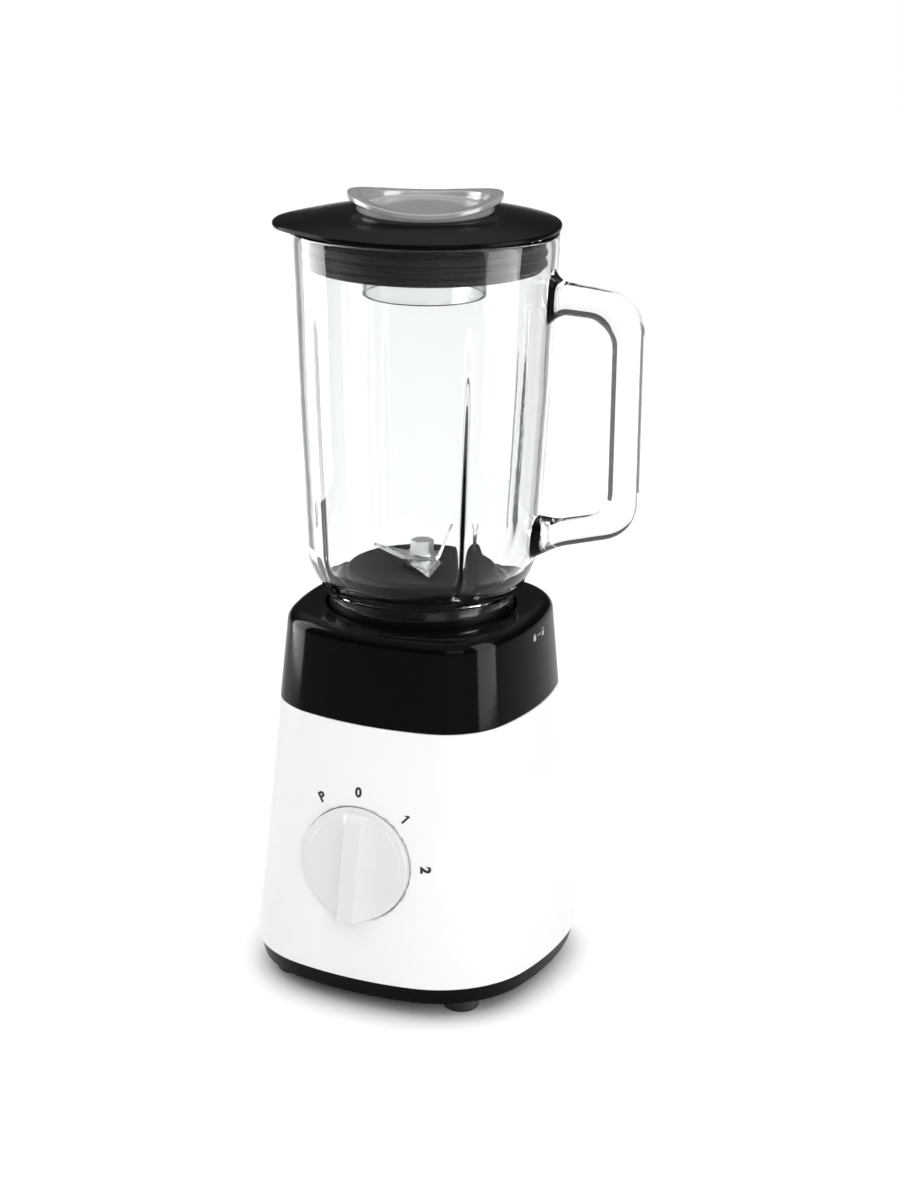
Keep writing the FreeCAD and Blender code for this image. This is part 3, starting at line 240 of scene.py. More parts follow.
def stand_for(piece, body, nodes, finish):
    """Give a piece its finish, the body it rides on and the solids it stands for."""
    piece.data.materials.clear()
    piece.data.materials.append(finish)
    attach(piece, body)
    if nodes:
        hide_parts(*nodes)
    return piece


# ---------------------------------------------------------------- shader nodes
class Wire:
    """A shader output that takes part in arithmetic: each sign adds one Math node."""

    def __init__(self, tree, socket):
        self.tree, self.socket = tree, socket

    def math(self, operation, *others):
        made = self.tree.nodes.new("ShaderNodeMath")
        made.operation = operation
        for place, item in enumerate((self,) + others):
            if isinstance(item, Wire):
                self.tree.links.new(item.socket, made.inputs[place])
            else:
                made.inputs[place].default_value = item
        return Wire(self.tree, made.outputs[0])

    def __add__(self, other):
        return self.math("ADD", other)

    def __sub__(self, other):
        return self.math("SUBTRACT", other)

    def __rsub__(self, other):
        return self.math("MULTIPLY", -1).math("ADD", other)

    def __mul__(self, other):
        return self.math("MULTIPLY", other)

    __radd__ = __add__
    __rmul__ = __mul__


class Finish:
    """One material, or the world, in the making."""

    def __init__(self, name, world=None):
        self.owner = world or bpy.data.materials.new(name)
        self.owner.use_nodes = True
        self.tree = self.owner.node_tree
        self.tree.nodes.clear()

    def node(self, kind, settings=None, inputs=None, output=0):
        """Any node: its type, its settings (set first; "stops" are a ramp's), then its sockets."""
        made = self.tree.nodes.new("ShaderNode" + kind)
        for name, setting in (settings or {}).items():
            if name == "stops":
                ramp = made.color_ramp.elements
                while len(ramp) < len(setting):
                    ramp.new(0.5)
                for stop, (place, tone) in zip(ramp, setting):
                    stop.position, stop.color = place, tone
            else:
                setattr(made, name, setting)
        for name, item in (inputs or {}).items():
            if isinstance(item, Wire):
                self.tree.links.new(item.socket, made.inputs[name])
            else:
                made.inputs[name].default_value = item
        return Wire(self.tree, made.outputs[output]) if len(made.outputs) else made

    def place(self):
        return self.node("TexCoord", output="Object")

    def noise(self, scale, detail=3.0, stretch=None):
        """Cloudy noise from 0 to 1 on Object coordinates, scale in features a metre."""
        where = self.place()
        if stretch:
            where = self.node("Mapping", None, {"Vector": where, "Scale": stretch})
        return self.node("TexNoise", None, {"Vector": where, "Scale": scale, "Detail": detail})

    def axes(self, vector=None):
        """The x, y and z of a vector, or else of Object coordinates."""
        parts = self.node("SeparateXYZ", None, {"Vector": vector or self.place()}).socket.node
        return [Wire(self.tree, part) for part in parts.outputs]

    def blend(self, share, first, second):
        """A colour that goes from first to second as share goes from 0 to 1."""
        return self.node("Mix", {"data_type": "RGBA"}, {0: share, 6: first, 7: second}, 2)

    def ramp(self, share, low, high):
        """0 below low, 1 above high, smooth between."""
        return self.node("MapRange", {"interpolation_type": "SMOOTHSTEP"},
                         {"Value": share, "From Min": low, "From Max": high})

    def bump(self, height, strength, depth):
        """A normal from a height of 0 to 1 that stands depth metres tall."""
        return self.node("Bump", None, {"Height": height, "Strength": strength, "Distance": depth})

    def surface(self, **inputs):
        """A Principled surface; an underscore in a keyword stands for a space."""
        named = {name.replace("_", " "): item for name, item in inputs.items()}
        return self.node("BsdfPrincipled", None, named)

    def done(self, shader):
        self.node("OutputMaterial", None, {"Surface": shader})
        return self.owner


def tone(colour, share=1.0, lift=0.0):
    """A colour times share plus lift, with its alpha."""
    return tuple(min(channel * share + lift, 1) for channel in colour) + (1,)


def gloss_finish(name, colour, roughness, specular):
    """Polished moulded plastic: faint ripple and smudges in the shine."""
    make = Finish(name)
    smudge = make.noise(22, 4)
    ripple = make.noise(240, 2) + make.noise(900, 2) * 0.25
    return make.done(make.surface(
        Base_Color=make.blend(smudge, tone(colour), tone(colour, 0.94)),
        Roughness=smudge * 0.06 + roughness, IOR=1.5, Specular_IOR_Level=specular,
        Normal=make.bump(ripple, 0.35, 0.00003)))


def grain_finish(name, colour, roughness, grain, depth, specular=0.4):
    """Textured moulding or rubber: fine even grain with a cloudy shine."""
    make = Finish(name)
    cloud = make.noise(35, 4)
    fine = make.noise(grain, 3)
    return make.done(make.surface(
        Base_Color=make.blend(cloud * 0.35, tone(colour), tone(colour, 1.6, 0.001)),
        Roughness=fine * 0.12 + cloud * 0.08 + roughness, Specular_IOR_Level=specular,
        Normal=make.bump(fine, 0.5, depth)))


def metal_finish(name, colour, roughness, pattern, depth=0.00002):
    """Metal with one of four patterns: brushed along x, turned rings, stacked sheets, cast grain."""
    make = Finish(name)
    across, along, up = make.axes()
    if pattern == "brushed":
        mark = make.noise(500, 3, stretch=(0.06, 1, 1))
    elif pattern == "turned":
        radius = (across * across + along * along).math("SQRT")
        mark = make.node("TexNoise", {"noise_dimensions": "1D"}, {"W": radius + up * 0.7, "Scale": 2600.0})
    elif pattern == "sheets":
        mark = (up * (TAU / 0.0007)).math("SINE") * 0.5 + 0.5
    else:
        mark = make.noise(1400, 4)
    stain = make.noise(60, 4)
    return make.done(make.surface(
        Base_Color=make.blend(mark * 0.5 + stain * 0.3, tone(colour), tone(colour, 0.72)), Metallic=1.0,
        Roughness=mark * 0.16 + stain * 0.08 + roughness, Normal=make.bump(mark, 0.4, depth)))


def wire_finish(name, colour, pitch):
    """Enamelled winding wire: rounded turns side by side, the colour darkened between turns as painted
    shade in the grooves.
    """
    make = Finish(name)
    across, along, up = make.axes()
    turn = ((across + along * 0.35 + up * 0.8) * (TAU / pitch)).math("SINE") * 0.5 + 0.5
    patch = make.noise(90, 3)
    # base colour falls to 0.28 of the wire's colour between turns: painted shade in the grooves
    return make.done(make.surface(
        Base_Color=make.blend(turn * 0.7 + patch * 0.3, tone(colour, 0.28), tone(colour)), Metallic=0.9,
        Roughness=patch * 0.2 + 0.26, Coat_Weight=0.6, Normal=make.bump(turn, 0.9, pitch / 3)))


def segment_finish(name, colour, bars):
    """Copper bars round the axis, with dark slots between them and fine turned scratches."""
    make = Finish(name)
    across, along, up = make.axes()
    turn = (along.math("ARCTAN2", across) * bars).math("SINE")
    slot = make.ramp(turn, 0.86, 0.97)
    scratch = make.noise(3000, 2, stretch=(0.1, 0.1, 1))
    return make.done(make.surface(
        Base_Color=make.blend(slot, tone(colour), (0.03, 0.02, 0.02, 1)),
        Metallic=1 - slot, Roughness=scratch * 0.2 + 0.2, Normal=make.bump(1 - slot, 0.8, 0.0004)))


def glass_finish(name, tint, roughness):
    """Pressed glass: a trace of tint, slow waves from the mould and faint streaks in the polish."""
    make = Finish(name)
    wave = make.noise(26, 2, stretch=(1, 1, 0.35)) + make.noise(150, 2) * 0.12
    streak = make.noise(60, 3, stretch=(1, 1, 0.2))
    return make.done(make.surface(
        Base_Color=make.blend(streak, tone(tint), tone(tint, 0.985)),
        Roughness=make.ramp(streak, 0.45, 0.9) * roughness, IOR=1.5, Transmission_Weight=1.0,
        Specular_Tint=(0.14, 0.14, 0.14, 1),
        Normal=make.bump(wave, 0.6, bpy.context.scene.blender_looks.waviness)))


def cap_finish(name, disc, tint, cup_top, disc_low):
    """Smoky moulded plastic, clear in the thin cup and milky grey in the disc above it."""
    make = Finish(name)
    cloud = make.noise(70, 3)
    up = make.axes()[2]
    clear = make.surface(Base_Color=tone(tint), Roughness=cloud * 0.04 + 0.03, IOR=1.46,
                         Transmission_Weight=1.0)
    milky = make.surface(Base_Color=make.blend(cloud, tone(disc), tone(disc, 0.9)),
                         Roughness=cloud * 0.05 + 0.14, IOR=1.46, Transmission_Weight=0.3,
                         Normal=make.bump(make.noise(300, 2), 0.3, 0.00003))
    share = make.ramp(up, cup_top, disc_low) * 0.82
    return make.done(make.node("MixShader", None, {0: share, 1: clear, 2: milky}))


def print_finish(name, colour):
    """Pad-printed ink: slightly uneven cover and a soft sheen."""
    make = Finish(name)
    patch = make.noise(1500, 3)
    return make.done(make.surface(
        Base_Color=make.blend(patch * 0.3, tone(colour), tone(colour, 0.8, 0.01)),
        Roughness=patch * 0.15 + 0.35, Normal=make.bump(patch, 0.2, 0.00001)))


# maker, colour (or the name of one of the user's), then what else the maker takes
FINISHES = {
    "white_gloss": (gloss_finish, "white", 0.12, 0.15),
    "black_gloss": (gloss_finish, "black", 0.08, 0.04),
    # the dial's finish is the shell's white darkened: painted shade for the shading on its grip and hollows
    "dial_white": (gloss_finish, "dial", 0.22, 0.15),
    "lid_black": (gloss_finish, "black", 0.16, 0.02),
    "black_satin": (grain_finish, (0.002, 0.002, 0.0022), 0.24, 2200, 0.00002, 0.05),
    "rubber": (grain_finish, (0.014, 0.014, 0.014), 0.5, 2600, 0.00003, 0.3),
    "seal_rubber": (grain_finish, (0.003, 0.003, 0.0032), 0.4, 1800, 0.00002, 0.08),
    "moulded_plastic": (grain_finish, (0.16, 0.16, 0.17), 0.36, 1600, 0.00003),
    "carbon": (grain_finish, (0.05, 0.05, 0.05), 0.5, 3200, 0.00003),
    "blade_steel": (metal_finish, (0.62, 0.63, 0.64), 0.16, "brushed"),
    "machined_steel": (metal_finish, (0.58, 0.58, 0.59), 0.22, "turned"),
    "laminated_steel": (metal_finish, (0.34, 0.34, 0.35), 0.34, "sheets", 0.00012),
    "bronze": (metal_finish, (0.55, 0.37, 0.17), 0.3, "turned"),
    "cast_aluminium": (metal_finish, (0.62, 0.62, 0.63), 0.36, "cast", 0.00008),
    "copper_wire": (wire_finish, (0.62, 0.24, 0.09), 0.0009),
    "commutator_copper": (segment_finish, (0.7, 0.34, 0.18), 24),
    "clear_glass": (glass_finish, "glass", 0.03),
    "smoky_plastic": (cap_finish, "cap", (0.86, 0.87, 0.88), 0.3800, 0.3832),
    "dark_print": (print_finish, (0.004, 0.004, 0.0042)),
    "pale_print": (print_finish, (0.34, 0.34, 0.34)),
}


_finishes = {}


def finish(name):
    """The named finish, made once."""
    if name not in _finishes:
        maker, colour, *more = FINISHES[name]
        if isinstance(colour, str):
            colour = getattr(bpy.context.scene.blender_looks, colour)
        _finishes[name] = maker(name, colour, *more)
    return _finishes[name]


# ---------------------------------------------------------------- what a user can change
class BlenderLooks(bpy.types.PropertyGroup):
    """Sizes and colours of the visible surfaces."""

    white: FloatVectorProperty(name="Lower shell", description="Colour of the tapered lower shell",
                               default=(0.84, 0.84, 0.845), subtype="COLOR", min=0, max=1)
    black: FloatVectorProperty(name="Upper shell and lid", description="Colour of the black mouldings",
                               default=(0.0015, 0.0015, 0.0017), subtype="COLOR", min=0, max=1)
    # a grey darker than the lower shell's white: the dial's white with painted shade standing for the
    # shading on its grip and hollows
    dial: FloatVectorProperty(name="Dial", description="Colour of the control dial",
                              default=(0.72, 0.72, 0.725), subtype="COLOR", min=0, max=1)
    glass: FloatVectorProperty(name="Glass", description="Tint of the jug's glass",
                               default=(0.9, 0.915, 0.91), subtype="COLOR", min=0, max=1)
    cap: FloatVectorProperty(name="Cap disc", description="Colour of the measuring cap's disc",
                             default=(0.36, 0.36, 0.365), subtype="COLOR", min=0, max=1)
    waviness: FloatProperty(name="Glass waves", description="Height of the slow waves in the glass",
                            default=0.00022, min=0, max=0.002, unit="LENGTH", precision=5)
    seam_round: FloatProperty(name="Seam rounding", description="Edge radius where the shells meet",
                              default=0.0006, min=0.0001, max=0.002, unit="LENGTH", precision=4)
    shoulder: FloatProperty(name="Shoulder radius", description="Radius of the upper shell's shoulder",
                            default=0.007, min=0.002, max=0.012, unit="LENGTH", precision=4)
    figure_height: FloatProperty(name="Dial figure height", description="Height of the dial's figures",
                                 default=0.0053, min=0.002, max=0.01, unit="LENGTH", precision=4)
    figure_ring: FloatProperty(name="Dial figure ring", description="Distance from the dial's axis",
                               default=0.036, min=0.03, max=0.05, unit="LENGTH", precision=4)


class BlenderStudio(bpy.types.PropertyGroup):
    """Camera and light of the stage."""

    lens: FloatProperty(name="Lens", description="Focal length of the camera", default=78.763,
                        min=20, max=200, unit="CAMERA")
    floor: FloatVectorProperty(name="Floor", description="Colour of the floor", default=(0.93, 0.93, 0.93),
                               subtype="COLOR", min=0, max=1)
    sky: FloatProperty(name="Surroundings", description="Brightness of the surroundings", default=1.6,
                       min=0, max=4, subtype="FACTOR")
    key: FloatProperty(name="Key light", description="Power of the overhead light", default=8,
                       min=0, max=500, unit="POWER")
    fill: FloatProperty(name="Front light", description="Power of the soft light in front", default=10,
                        min=0, max=500, unit="POWER")
    sides: FloatProperty(name="Side boxes", description="Power of the boxes that only show as reflections",
                         default=20, min=0, max=500, unit="POWER")


# ---------------------------------------------------------------- base
class BLENDER_OT_lower_shell(bpy.types.Operator):
    """White tapered lower shell with the dial's round pocket and the hole for the cord's bush"""
    bl_idname = "blender_looks.lower_shell"
    bl_label = "Lower Shell"

    def execute(self, context):
        edge = context.scene.blender_looks.seam_round / MM
        low, high = SKIRT_Z, SEAM_Z
        path = round_corners([(half_at(low), low, edge), (half_at(high), high, edge),
                              (half_at(high) - WALL, high, 0.4), (half_at(low) - WALL, low, 0.4)])
        path = even_runs(path, 3.0)
        angle = np.arange(288) * TAU / 288
        share = np.interp(path[:, 1], [low, high], [SKIRT_CORNER, SEAM_CORNER])[:, None]
        reach = square_reach(angle[None, :], path[:, :1], share)
        shell = piece_from_grid("lower_shell_skin", round_axis(reach, path[:, 1:2], angle))
        cup = piece_from_grid("cup", on_dial_axis(tube(-8.6, -3.4, 31.2)), False)
        sink = piece_from_grid("sink", on_dial_axis(tube(-6.0, 3.0, 28.6, columns=160)), False)
        hub = piece_from_grid("hub", on_dial_axis(tube(-10.0, -5.0, 6.05)), False)
        back = tube(-9.0, 9.0, INLET_R) @ np.array(Matrix.Rotation(math.pi / 2, 3, "X"))
        inlet = piece_from_grid("inlet", back + np.array([0, half_at(INLET_Z) - 2, INLET_Z]), False)
        combine(shell, "UNION", [cup])
        combine(shell, "DIFFERENCE", [sink, hub, inlet])
        even_shading(stand_for(shell, "base", ["body_shell"], finish("white_gloss")))
        return {"FINISHED"}


def crown_half(height, shoulder):
    """The upper shell's half width, a straight line from the seam to the top of its shoulder."""
    return np.interp(height, [SEAM_Z, TOP_Z], [half_at(SEAM_Z), half_at(TOP_Z - shoulder) - 0.3])


class BLENDER_OT_upper_shell(bpy.types.Operator):
    """Black upper shell: rounded square below, blended on top into the jug's round seat"""
    bl_idname = "blender_looks.upper_shell"
    bl_label = "Upper Shell"

    def execute(self, context):
        looks = context.scene.blender_looks
        edge, bend = looks.seam_round / MM, looks.shoulder / MM
        springing = crown_half(TOP_Z, bend)
        flat = springing + 0.3 - bend
        # size, height, radius, then how round the section is
        corners = [(half_at(SEAM_Z), SEAM_Z, edge, 0), (springing, TOP_Z - 0.01, bend - 0.2, 0),
                   (flat - 0.8, TOP_Z, 0, 0.0), (SEAT_R + 2.4, TOP_Z, 0, 1), (SEAT_R, TOP_Z, 1.6, 1),
                   (SEAT_R, SEAT_FLOOR, 0.5, 1), (17.0, SEAT_FLOOR, 0.4, 1), (17.0, SEAT_FLOOR - 3, 0.3, 1),
                   (SEAT_R + 2.6, SEAT_FLOOR - 3, 0.4, 1), (SEAT_R + 2.6, TOP_Z - 3, 0.4, 1),
                   (flat - 1, TOP_Z - 3, 0, 0), (half_at(TOP_Z - 3) - WALL - 0.6, TOP_Z - 3, 0.5, 0),
                   (half_at(SEAM_Z) - WALL, SEAM_Z, 0.4, 0)]
        path = even_runs(round_corners(corners, steps=9), 2.5)
        angle = np.arange(288) * TAU / 288
        square = square_reach(angle[None, :], path[:, :1], SEAM_CORNER)
        reach = square + (path[:, :1] - square) * path[:, 2:3]
        shell = piece_from_grid("upper_shell_skin", round_axis(reach, path[:, 1:2], angle))
        turn = math.radians(200)
        spot = np.array([38 * math.cos(turn), 38 * math.sin(turn), 0])
        combine(shell, "DIFFERENCE", [piece_from_grid("pin", tube(165, 175, 2.1) + spot, False)])
        posts = []
        for side in ((1, 1), (-1, 1), (-1, -1), (1, -1)):
            at = np.array([38.5 * side[0], 38.5 * side[1], 0])
            posts.append(piece_from_grid("post", tube(145.0, 187.6, 4.5, 1.8, 40) + at, True))
        combine(shell, "UNION", posts)
        even_shading(stand_for(shell, "base", ["upper_shell"], finish("black_gloss")))
        return {"FINISHED"}


class BLENDER_OT_dial(bpy.types.Operator):
    """Control dial: a bevelled face with a tapering grip between two scooped hollows"""
    bl_idname = "blender_looks.dial"
    bl_label = "Dial"

    def execute(self, context):
        """Height over the face is the larger of the bevelled disc and the grip. The grip's flanks fall
        from its sloping top as quarter ellipses, 1 - sqrt(1 - (1 - t)^2.3) of its height at t across."""
        angle = np.arange(400) * TAU / 400
        radius = np.concatenate([np.linspace(0, 24, 60), np.linspace(24.3, 27.6, 16)])

        def height(x, y):
            r = np.hypot(x, y)
            disc = np.minimum(1.6, -1.2 + (DIAL_R - r) * 2.8 / 3.6)
            top = np.interp(y, [-DIAL_R, 19.0, 21.1, 23.4, 25.1], [9.0, 5.2, 4.7, 3.4, 1.0])
            flank = np.clip((np.abs(x) - 4.3) / 17.0, 0, 1)
            scoop = 1.2 + (top - 1.2) * (1 - np.sqrt(1 - (1 - flank) ** 2.3))
            soft = np.clip(0.5 + (4.9 - np.abs(x)) / 1.2, 0, 1)
            grip = top * soft + scoop * (1 - soft)
            soft = np.clip(0.5 + (grip - disc) / 0.8, 0, 1)
            return disc * (1 - soft) + grip * soft + 0.4 * soft * (1 - soft)

        x, y = radius[:, None] * np.cos(angle), radius[:, None] * np.sin(angle)
        top = np.stack([x, y, height(x, y)], axis=-1)
        bend = np.linspace(0, math.pi / 2, 6)[1:, None]
        rim = 27.6 + 0.5 * np.sin(bend)
        x, y = rim * np.cos(angle), rim * np.sin(angle)
        edge = np.stack([x, y, top[-1:, :, 2] - 0.5 * (1 - np.cos(bend))], axis=-1)
        low = np.array([(DIAL_R, -3.4), (DIAL_R, -5.3), (27.8, -5.6), (20, -5.7), (6, -5.7), (6, -8.2),
                        (0, -8.2)])
        under = lathe(low, 400)
        dial = piece_from_grid("dial_face", on_dial_axis(np.concatenate([top, edge, under])), False)
        bore = piece_from_grid("bore", on_dial_axis(tube(-10, -1, DIAL_SHAFT_R)), False)
        combine(dial, "DIFFERENCE", [bore])
        even_shading(stand_for(dial, "control_knob", ["knob"], finish("dial_white")))
        return {"FINISHED"}


def front_face(across, height, lift):
    """A point on the front of the lower shell, or lifted off it along its normal."""
    half = half_at(height)
    back = -(np.sqrt((SIDE_ARC * half) ** 2 - across**2) - SIDE_BACK * half)
    lifted = lift * math.cos(DIAL_TILT), lift * math.sin(DIAL_TILT)
    return np.stack([across, back - lifted[0], height + lifted[1]], axis=-1)


def flat_shape(name, outline_or_text, size, bold=0.0):
    """A thin closed mesh of a text or of closed outlines, centred, size high; its thickness runs 0 to 1."""
    if isinstance(outline_or_text, str):
        curve = bpy.data.curves.new(name, "FONT")
        curve.body, curve.offset = outline_or_text, bold
    else:
        curve = bpy.data.curves.new(name, "CURVE")
        curve.dimensions, curve.fill_mode = "2D", "BOTH"
        for outline in outline_or_text:
            run = curve.splines.new("POLY")
            run.points.add(len(outline) - 1)
            flat = np.column_stack([outline, np.zeros(len(outline)), np.ones(len(outline))])
            run.points.foreach_set("co", flat.ravel())
            run.use_cyclic_u = True
    curve.extrude = 0.5
    holder = bpy.data.objects.new(name, curve)
    bpy.context.scene.collection.objects.link(holder)
    graph = bpy.context.evaluated_depsgraph_get()
    mesh = bpy.data.meshes.new_from_object(holder.evaluated_get(graph))
    bpy.data.objects.remove(holder)
    spots = np.empty(len(mesh.vertices) * 3)
    mesh.vertices.foreach_get("co", spots)
    spots = spots.reshape(-1, 3)
    low, high = spots.min(0), spots.max(0)
    spots[:, :2] = (spots[:, :2] - (low + high)[:2] / 2) * size / (high - low)[1]
    spots[:, 2] += 0.5
    return mesh, spots


def set_spots(mesh, spots, name):
    mesh.vertices.foreach_set("co", (spots * MM).ravel())
    mesh.update()
    piece = bpy.data.objects.new(name, mesh)
    tidy_piece(piece)
    piece.data.shade_flat()
    return piece


class BLENDER_OT_dial_figures(bpy.types.Operator):
    """Printed figures P, 0, 1 and 2 round the dial, each turned with its place"""
    bl_idname = "blender_looks.dial_figures"
    bl_label = "Dial Figures"

    def execute(self, context):
        looks = context.scene.blender_looks
        one = np.array([(-0.14, -1), (0.26, -1), (0.26, 1), (-0.06, 1), (-0.5, 0.62), (-0.5, 0.22),
                        (-0.14, 0.5)])
        for text, degrees in (("P", -34), ("0", 0), ("1", 43), ("2", 87)):
            turn = math.radians(degrees)
            shape = [one] if text == "1" else text
            mesh, spots = flat_shape("figure", shape, looks.figure_height / MM, 0.05)
            ring = looks.figure_ring / MM
            across = spots[:, 0] * math.cos(turn) + (spots[:, 1] + ring) * math.sin(turn)
            up = -spots[:, 0] * math.sin(turn) + (spots[:, 1] + ring) * math.cos(turn)
            placed = front_face(across, DIAL_Z + up * math.cos(DIAL_TILT), -0.03 + 0.07 * spots[:, 2])
            figure = set_spots(mesh, placed, f"dial_figure_{text}")
            stand_for(figure, "base", [], finish("dark_print"))
        return {"FINISHED"}


class BLENDER_OT_lock_signs(bpy.types.Operator):
    """Small printed signs on the upper shell: open padlock, arrow, closed padlock"""
    bl_idname = "blender_looks.lock_signs"
    bl_label = "Lock Signs"

    def execute(self, context):
        bend = np.linspace(0, math.pi, 9)
        bow = np.concatenate([np.stack([0.62 * np.cos(bend), 0.62 * np.sin(bend)], 1),
                              np.stack([0.34 * np.cos(bend[::-1]), 0.34 * np.sin(bend[::-1])], 1)])
        body = np.array([(-0.8, -1.5), (0.8, -1.5), (0.8, -0.02), (-0.8, -0.02)])
        arrow = np.array([(-1.9, -0.16), (0.9, -0.16), (0.9, -0.7), (1.9, 0), (0.9, 0.7), (0.9, 0.16),
                          (-1.9, 0.16)])
        shapes = ((-5.4, [body, bow], 3.7), (0, [arrow], 1.5), (5.4, [body, bow + (0.35, 0.3)], 3.9))
        for place, (shift, outlines, size) in enumerate(shapes):
            mesh, spots = flat_shape("sign", outlines, size)
            height = SIGN_Z + spots[:, 1]
            half = crown_half(height, context.scene.blender_looks.shoulder / MM)
            turn = SIGN_TURN + (spots[:, 0] + shift) / half_at(SIGN_Z)
            reach = square_reach(turn, half, SEAM_CORNER) - 0.03 + 0.09 * spots[:, 2]
            sign = set_spots(mesh, round_axis(reach, height, turn), f"lock_sign_{place}")
            stand_for(sign, "base", [], finish("pale_print"))
        return {"FINISHED"}


# ---------------------------------------------------------------- jug and blades
def larger_of(first, second, soft):
    """The larger of two arrays, blended where they are closer than soft."""
    share = np.clip(0.5 + (second - first) / (2 * soft), 0, 1)
    return first * (1 - share) + second * share + soft * share * (1 - share)


def spout_reach(angle, height, inset):
    """Reach of the pouring lip's leaning cone: circles of radius p about c met along a ray at
    c cos a + sqrt(p^2 - (c sin a)^2), where a is measured from the lip."""
    rise = np.clip((height - LIP_LOW) / LIP_RISE, -0.35, 1)
    radius, centre = 17 - 3 * rise - inset, 45.6 + 9.2 * rise
    off = np.arctan2(np.sin(angle - math.pi), np.cos(angle - math.pi))
    room = radius**2 - (centre * np.sin(off)) ** 2
    met = (room > 0) & (np.abs(off) < 0.5)
    reach = np.where(met, centre * np.cos(off) + np.sqrt(np.maximum(room, 0)), 0)
    return reach - 2 * np.maximum(335.8 - height, 0)


def crowded_angles(count, spots, spread, gain):
    """Angles round a turn that crowd together near some spots."""
    fine = np.linspace(0, TAU, 4001)
    off = np.angle(np.exp(1j * (fine[:, None] - np.radians(spots)[None, :])))
    weight = 1 + gain * np.exp(-((off / math.radians(spread)) ** 2)).sum(1)
    total = np.concatenate([[0], np.cumsum((weight[1:] + weight[:-1]) / 2)])
    return np.interp(np.arange(count) * total[-1] / count, total, fine)


class BLENDER_OT_glass_jug(bpy.types.Operator):
    """Glass jug: wall, bowl, spigot, pouring lip, four ribs inside and a loop handle"""
    bl_idname = "blender_looks.glass_jug"
    bl_label = "Glass Jug"

    def wall(self):
        """Reach of each wall is its profile's radius, the larger with the lip's cone; inside, each rib
        takes off its depth times a rounded bump across it and a rounded ramp up it."""
        bowl_out = arc((47, 197.6), (57.4, 221), 46, 10)
        bowl_in = arc((43, 201.9), (53.8, 221), 28.75, 10)[::-1]
        outer = np.vstack([[(41.4, 186.3), (41.4, 193.2), (41.8, 193.5), (44.5, 193.5), (45.1, 194.0)],
                           bowl_out, [(61.2, 294), (62.6, 339), (63.9, 366)]])
        bend = np.linspace(0, math.pi, 11)
        rim = np.stack([62.1 + 1.8 * np.cos(bend), 373.4 + 1.8 * np.sin(bend)], axis=1)
        inner = np.vstack([[(60.3, 366), (59.0, 339), (57.6, 294)], bowl_in,
                           [(38.4, 200.7), (37.6, 200.2), (37.6, 186.3), (37.9, 186), (41.1, 186)]])
        path = np.vstack([outer, rim, inner])
        side = np.repeat([0, 0.5, 1], [len(outer) + 5, 1, len(rim) - 6 + len(inner)])
        path = even_runs(np.column_stack([path, side]), 2.6)
        angle = crowded_angles(440, sorted(JUG_RIBS + (LIP,)), 4.5, 3.0)
        radius, height, inside = path[:, :1], path[:, 1:2], path[:, 2:3]
        reach = larger_of(radius, spout_reach(angle[None, :], height, JUG_WALL * inside), 0.9)
        across = np.zeros_like(reach)
        for rib in JUG_RIBS:
            off = np.angle(np.exp(1j * (angle - math.radians(rib))))[None, :] * radius
            across = np.maximum(across, np.cos(np.clip(off / 6.2, -1, 1) * math.pi / 2) ** 1.6)
        ramp = np.interp(height, [198, 203, 214, 226, 300, 330, 342], [0, 0.25, 0.85, 1, 0.8, 0.4, 0])
        return round_axis(reach - 2.4 * across * ramp * np.round(inside), height, angle)

    def handle(self):
        """A rounded section carried along a loop: between an outer and an inner outline that are cut at
        the same places, a superellipse |a|^n + |b|^n = 1 is spread across the gap and the width."""
        bend = 14
        outer = round_corners([(61.3, 363), (66.2, 353.8, 9), (107.5, 349.4, 19), (108, 234.9, 20),
                               (70, 225.2, 30), (56.5, 218)], bend, False)
        inner = round_corners([(61.3, 331.5), (67, 338.2, 9), (93.2, 337, 13.6), (93.2, 243.9, 12.8),
                               (68, 238.0, 20), (56.5, 238.6)], bend, False)
        share = np.arange(len(outer))
        straight = share[bend - 1:-1:bend]
        fine = np.sort(np.concatenate([share] + [straight + part for part in (0.2, 0.4, 0.6, 0.8)]))
        outer, inner = (np.stack([np.interp(fine, share, column) for column in side.T[:2]], axis=1)
                        for side in (outer, inner))
        round_by = np.arange(40) * TAU / 40
        shape = [np.sign(wave) * np.abs(wave) ** (2 / 3.4) for wave in (np.cos(round_by), np.sin(round_by))]
        middle, gap = (outer + inner) / 2, (outer - inner) / 2
        width = 6 + 2.2 * np.clip(1 - (middle[:, :1] - 60) / 9, 0, 1) ** 2
        plane = middle[:, None] + gap[:, None] * shape[0][None, :, None]
        loop = np.stack([plane[..., 0], width * shape[1][None, :], plane[..., 1]], axis=-1)
        ends = [np.broadcast_to(loop[row].mean(0), (1, 40, 3)) for row in (0, -1)]
        return np.concatenate([ends[0], loop, ends[1]])

    def execute(self, context):
        jug = piece_from_grid("glass_jug_body", turned(self.wall(), JUG_YAW))
        handle = piece_from_grid("handle", turned(self.handle(), JUG_YAW), False)
        combine(jug, "UNION", [handle])
        even_shading(stand_for(jug, "jug", ["glass_jug"], finish("clear_glass")))
        jug.visible_shadow = False
        return {"FINISHED"}


